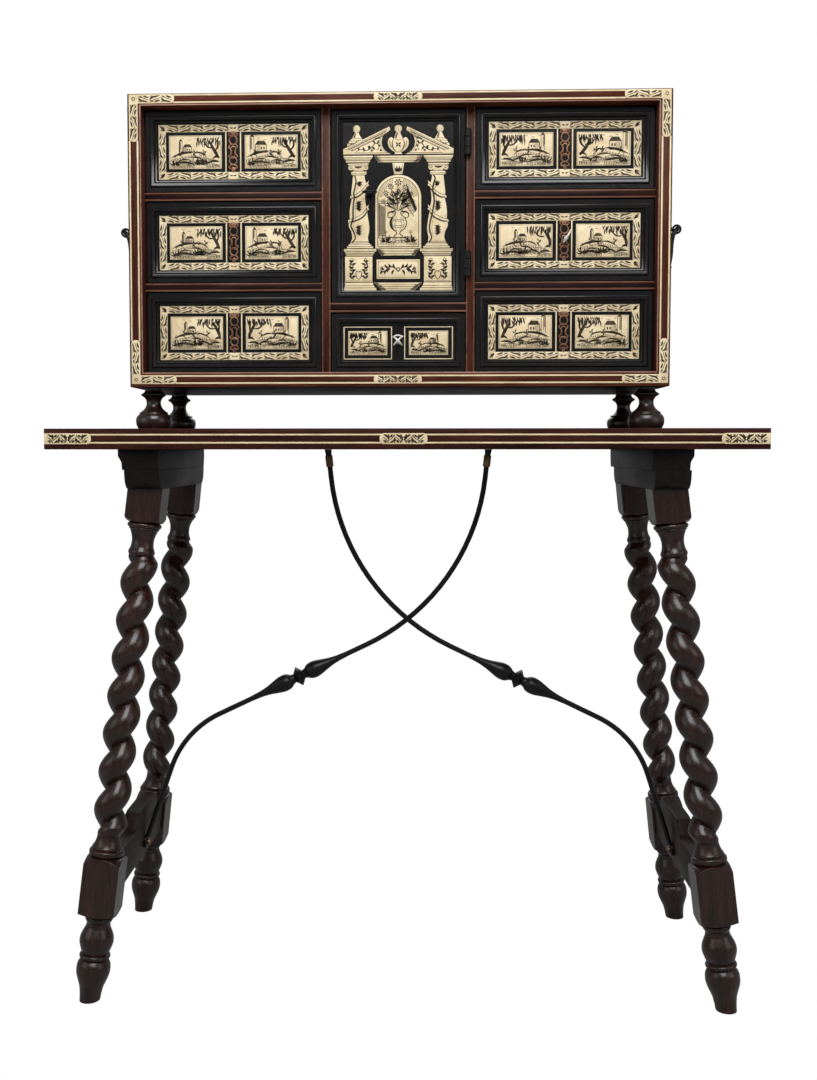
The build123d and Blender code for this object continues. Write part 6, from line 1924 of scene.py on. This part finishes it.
# Side handles
@dataclass
class SideHandle:
    """A drop handle: two roses with eyes and a bail that hangs through them."""

    side: int
    wall: float
    y: float = -37.0
    z: float = 1120.0
    standoff: float = 27.0
    end_spread: float = 28.0
    ear_spread: float = 34.0
    drop: float = 53.0
    crank: float = 8.5

    def bail(self) -> list[Piece]:
        """The hanging bar, thicker at its grip, with a ring at each side of it."""
        x = self.wall + self.side * self.standoff
        half = [(self.end_spread, 0, 0), (36.4, 0, 0)] + flowing(
            [(37.2, -0.4, 0), (39.2, -4, 0.4), (40.2, -12, 0.8), (40.0, -24, 1.0), (37, -36, 1), (30, -46, 1),
             (22, -self.drop, 1)], 4)
        line = half + [(-a, b, c) for a, b, c in half[::-1]]
        bar = rod([(x - self.side * self.crank * c, self.y + a, self.z + b) for a, b, c in line], 3.2, 4)
        swell = flowing([(3.4, -22), (4.4, -18), (5.2, -9), (5.4, 0), (5.2, 9), (4.4, 18), (3.4, 22)], 4)
        grip = lathe([(3.4, -22.2)] + swell[1:-1] + [(3.4, 22.2)], 28)
        beads = [lathe([(3.3, h - 1.4), (4.5, h - 1), (4.9, h), (4.5, h + 1), (3.3, h + 1.4)], 24) for h in (-21, 21)]
        place = along(Vector((x - self.side * self.crank, self.y, self.z - self.drop)), DEEP, ACROSS)
        return [bar] + [placed(part, place) for part in (grip, *beads)]

    def ears(self) -> list[Piece]:
        """Two domed roses, each with a shank and an eye."""
        x = self.wall + self.side * self.standoff
        made = []
        for end in BOTH:
            spot = Vector((self.wall, self.y + end * self.ear_spread, self.z))
            outward = along(spot, Vector((self.side, 0, 0)), DEEP)
            rose = flowing([(12, 0.0), (11.9, 1.0), (10.8, 1.6), (8.8, 1.5), (7.6, 2.0), (5.6, 3.2), (4.2, 3.6)], 3)
            made.append(placed(lathe(rose, 36), outward))
            shank = [(3.6, 2), (3.0, 6), (2.9, self.standoff - 7), (3.3, self.standoff - 4.6)]
            made.append(placed(lathe(shank, 24), outward))
            eye = lathe([(4.05, -2.5), (6.4, -2.5), (7, -1.8), (7, 1.8), (6.4, 2.5), (4.05, 2.5)], 28, True)
            made.append(placed(eye, along(Vector((x, spot.y, self.z)), DEEP, ACROSS)))
        return made


def build_handles() -> None:
    """Hang both drop handles."""
    ears = []
    for label, side, wall in (("left", -1, CABINET_LEFT), ("right", 1, CABINET_RIGHT)):
        handle = SideHandle(side, wall)
        deliver(handle.bail(), f"{label}_bail", f"{label}_handle", IRON, (f"{label}_handle",), 45)
        ears += handle.ears()
    deliver(ears, "handle_roses", CARCASS, IRON, ("handle_plates",), 40)


# The studio
@dataclass
class Studio:
    """A pale floor, a soft sky, area lights and the camera."""

    sky: float = 0.26
    key: float = 60.0
    fill: float = 9.0
    rear: float = 22.0
    lamp_size: float = 1.6
    aim_height: float = 0.8

    def area(self, name: str, place: Sequence[float], power: float) -> None:
        """One soft area light, aimed at the table top.

        Args:
            name: its name.
            place: where it hangs, in metres.
            power: its power in watts.
        """
        clear_bench()
        bpy.ops.object.light_add(type="AREA", location=place)
        lamp = bpy.context.object
        lamp.name = name
        lamp.data.size = self.lamp_size
        lamp.data.energy = power
        lamp.rotation_euler = (Vector((0, 0, self.aim_height)) - Vector(place)).to_track_quat("-Z", "Y").to_euler()

    def split(self, owner: bpy.types.ID, out: str, lit: tuple[str, float, float], shown: str) -> None:
        """Give a world or a material one shader for its light and a white one for the camera.

        Args:
            owner: the world or the material.
            out: its output's kind.
            lit: the kind, grey and second value of the shader that gives the light.
            shown: the kind of the white shader.
        """
        owner.use_nodes = True
        tree = owner.node_tree
        tree.nodes.clear()
        kinds = (out, lit[0], shown, "MixShader", "LightPath")
        end, light, white, mix, path = [tree.nodes.new(f"ShaderNode{kind}") for kind in kinds]
        light.inputs[0].default_value = (lit[1], lit[1], lit[1], 1)
        light.inputs[1].default_value = lit[2]
        white.inputs[0].default_value = (1, 1, 1, 1)
        white.inputs[1].default_value = 1.0
        for source, socket in ((path.outputs["Is Camera Ray"], mix.inputs[0]), (light.outputs[0], mix.inputs[1]),
                               (white.outputs[0], mix.inputs[2]), (mix.outputs[0], end.inputs[0])):
            tree.links.new(source, socket)

    def backdrop(self) -> None:
        """A white backdrop over a softer sky, and a pale floor that meets it without an edge."""
        world = bpy.data.worlds.new("studio_sky")
        bpy.context.scene.world = world
        self.split(world, "OutputWorld", ("Background", 1.0, self.sky), "Background")
        clear_bench()
        bpy.ops.mesh.primitive_plane_add(size=9, location=(0, 0, 0))
        plane = bpy.context.object
        plane.name = "studio_floor"
        material = bpy.data.materials.new("studio_floor")
        self.split(material, "OutputMaterial", ("BsdfDiffuse", 0.4, 0.0), "Emission")
        plane.data.materials.append(material)

    def camera(self) -> None:
        """The camera, a little above the table and nearly square on to the front."""
        data = bpy.data.cameras.new("front_camera")
        data.lens = 38.33
        data.sensor_width = 36
        data.shift_x = 0.0290
        data.shift_y = -0.0276
        camera = bpy.data.objects.new("front_camera", data)
        camera.location = (0.0183, -1.784, 0.7985)
        camera.rotation_euler = (math.pi / 2 - 0.0525, 0.0002, 0.0344)
        bpy.context.scene.collection.objects.link(camera)
        bpy.context.scene.camera = camera

    def build(self) -> None:
        """Set the whole studio up."""
        scene = bpy.context.scene
        scene.view_settings.view_transform = "Standard"
        self.backdrop()
        for name, place, power in (("key_light", (0.1, -1.9, 2.7), self.key),
                                   ("left_fill", (-2.4, -1.5, 1.4), self.fill),
                                   ("right_fill", (2.4, -1.5, 1.4), self.fill),
                                   ("rear_light", (0.0, 2.2, 2.2), self.rear)):
            self.area(name, place, power)
        self.camera()


def main() -> None:
    """Dress the whole vargueno and set up the studio."""
    logging.basicConfig(level=logging.INFO, format="%(name)s: %(message)s")
    TableTop().build()
    trestle = Trestle()
    trestle.build_legs()
    trestle.build_rails()
    Stretchers(trestle).build()
    carcass = Carcass()
    carcass.build_feet()
    carcass.build_boards()
    carcass.build_inlay()
    carcass.build_grid()
    rows = (("top", 1162.8, 1277.8), ("middle", 1035.3, 1150.3), ("bottom", 907.8, 1022.8))
    for column, x0, x1 in (("left", -368.2, -116.8), ("right", 99.8, 351.2)):
        for row, z0, z1 in rows:
            Drawer(f"{column}_{row}_drawer", x0, x1, z0, z1, 20 + int(z0) + (column == "right")).build()
    Drawer("center_drawer", -104.2, 87.2, 907.8, 992.8, 77, small=True).build()
    Door().build()
    Key("middle_drawer_key", "right_drawer_key", "right_drawer_key", 225.5, 1092.8, 34, 60, STEEL).build()
    Key("small_drawer_key", "center_drawer_key", "center_drawer_key", CENTER_X, 950.3, 34, 0, STEEL,
        bow=(7.8, 4.4), wire=1.15, crossed=True).build()
    build_handles()
    Studio().build()


if __name__ == "__main__":
    main()
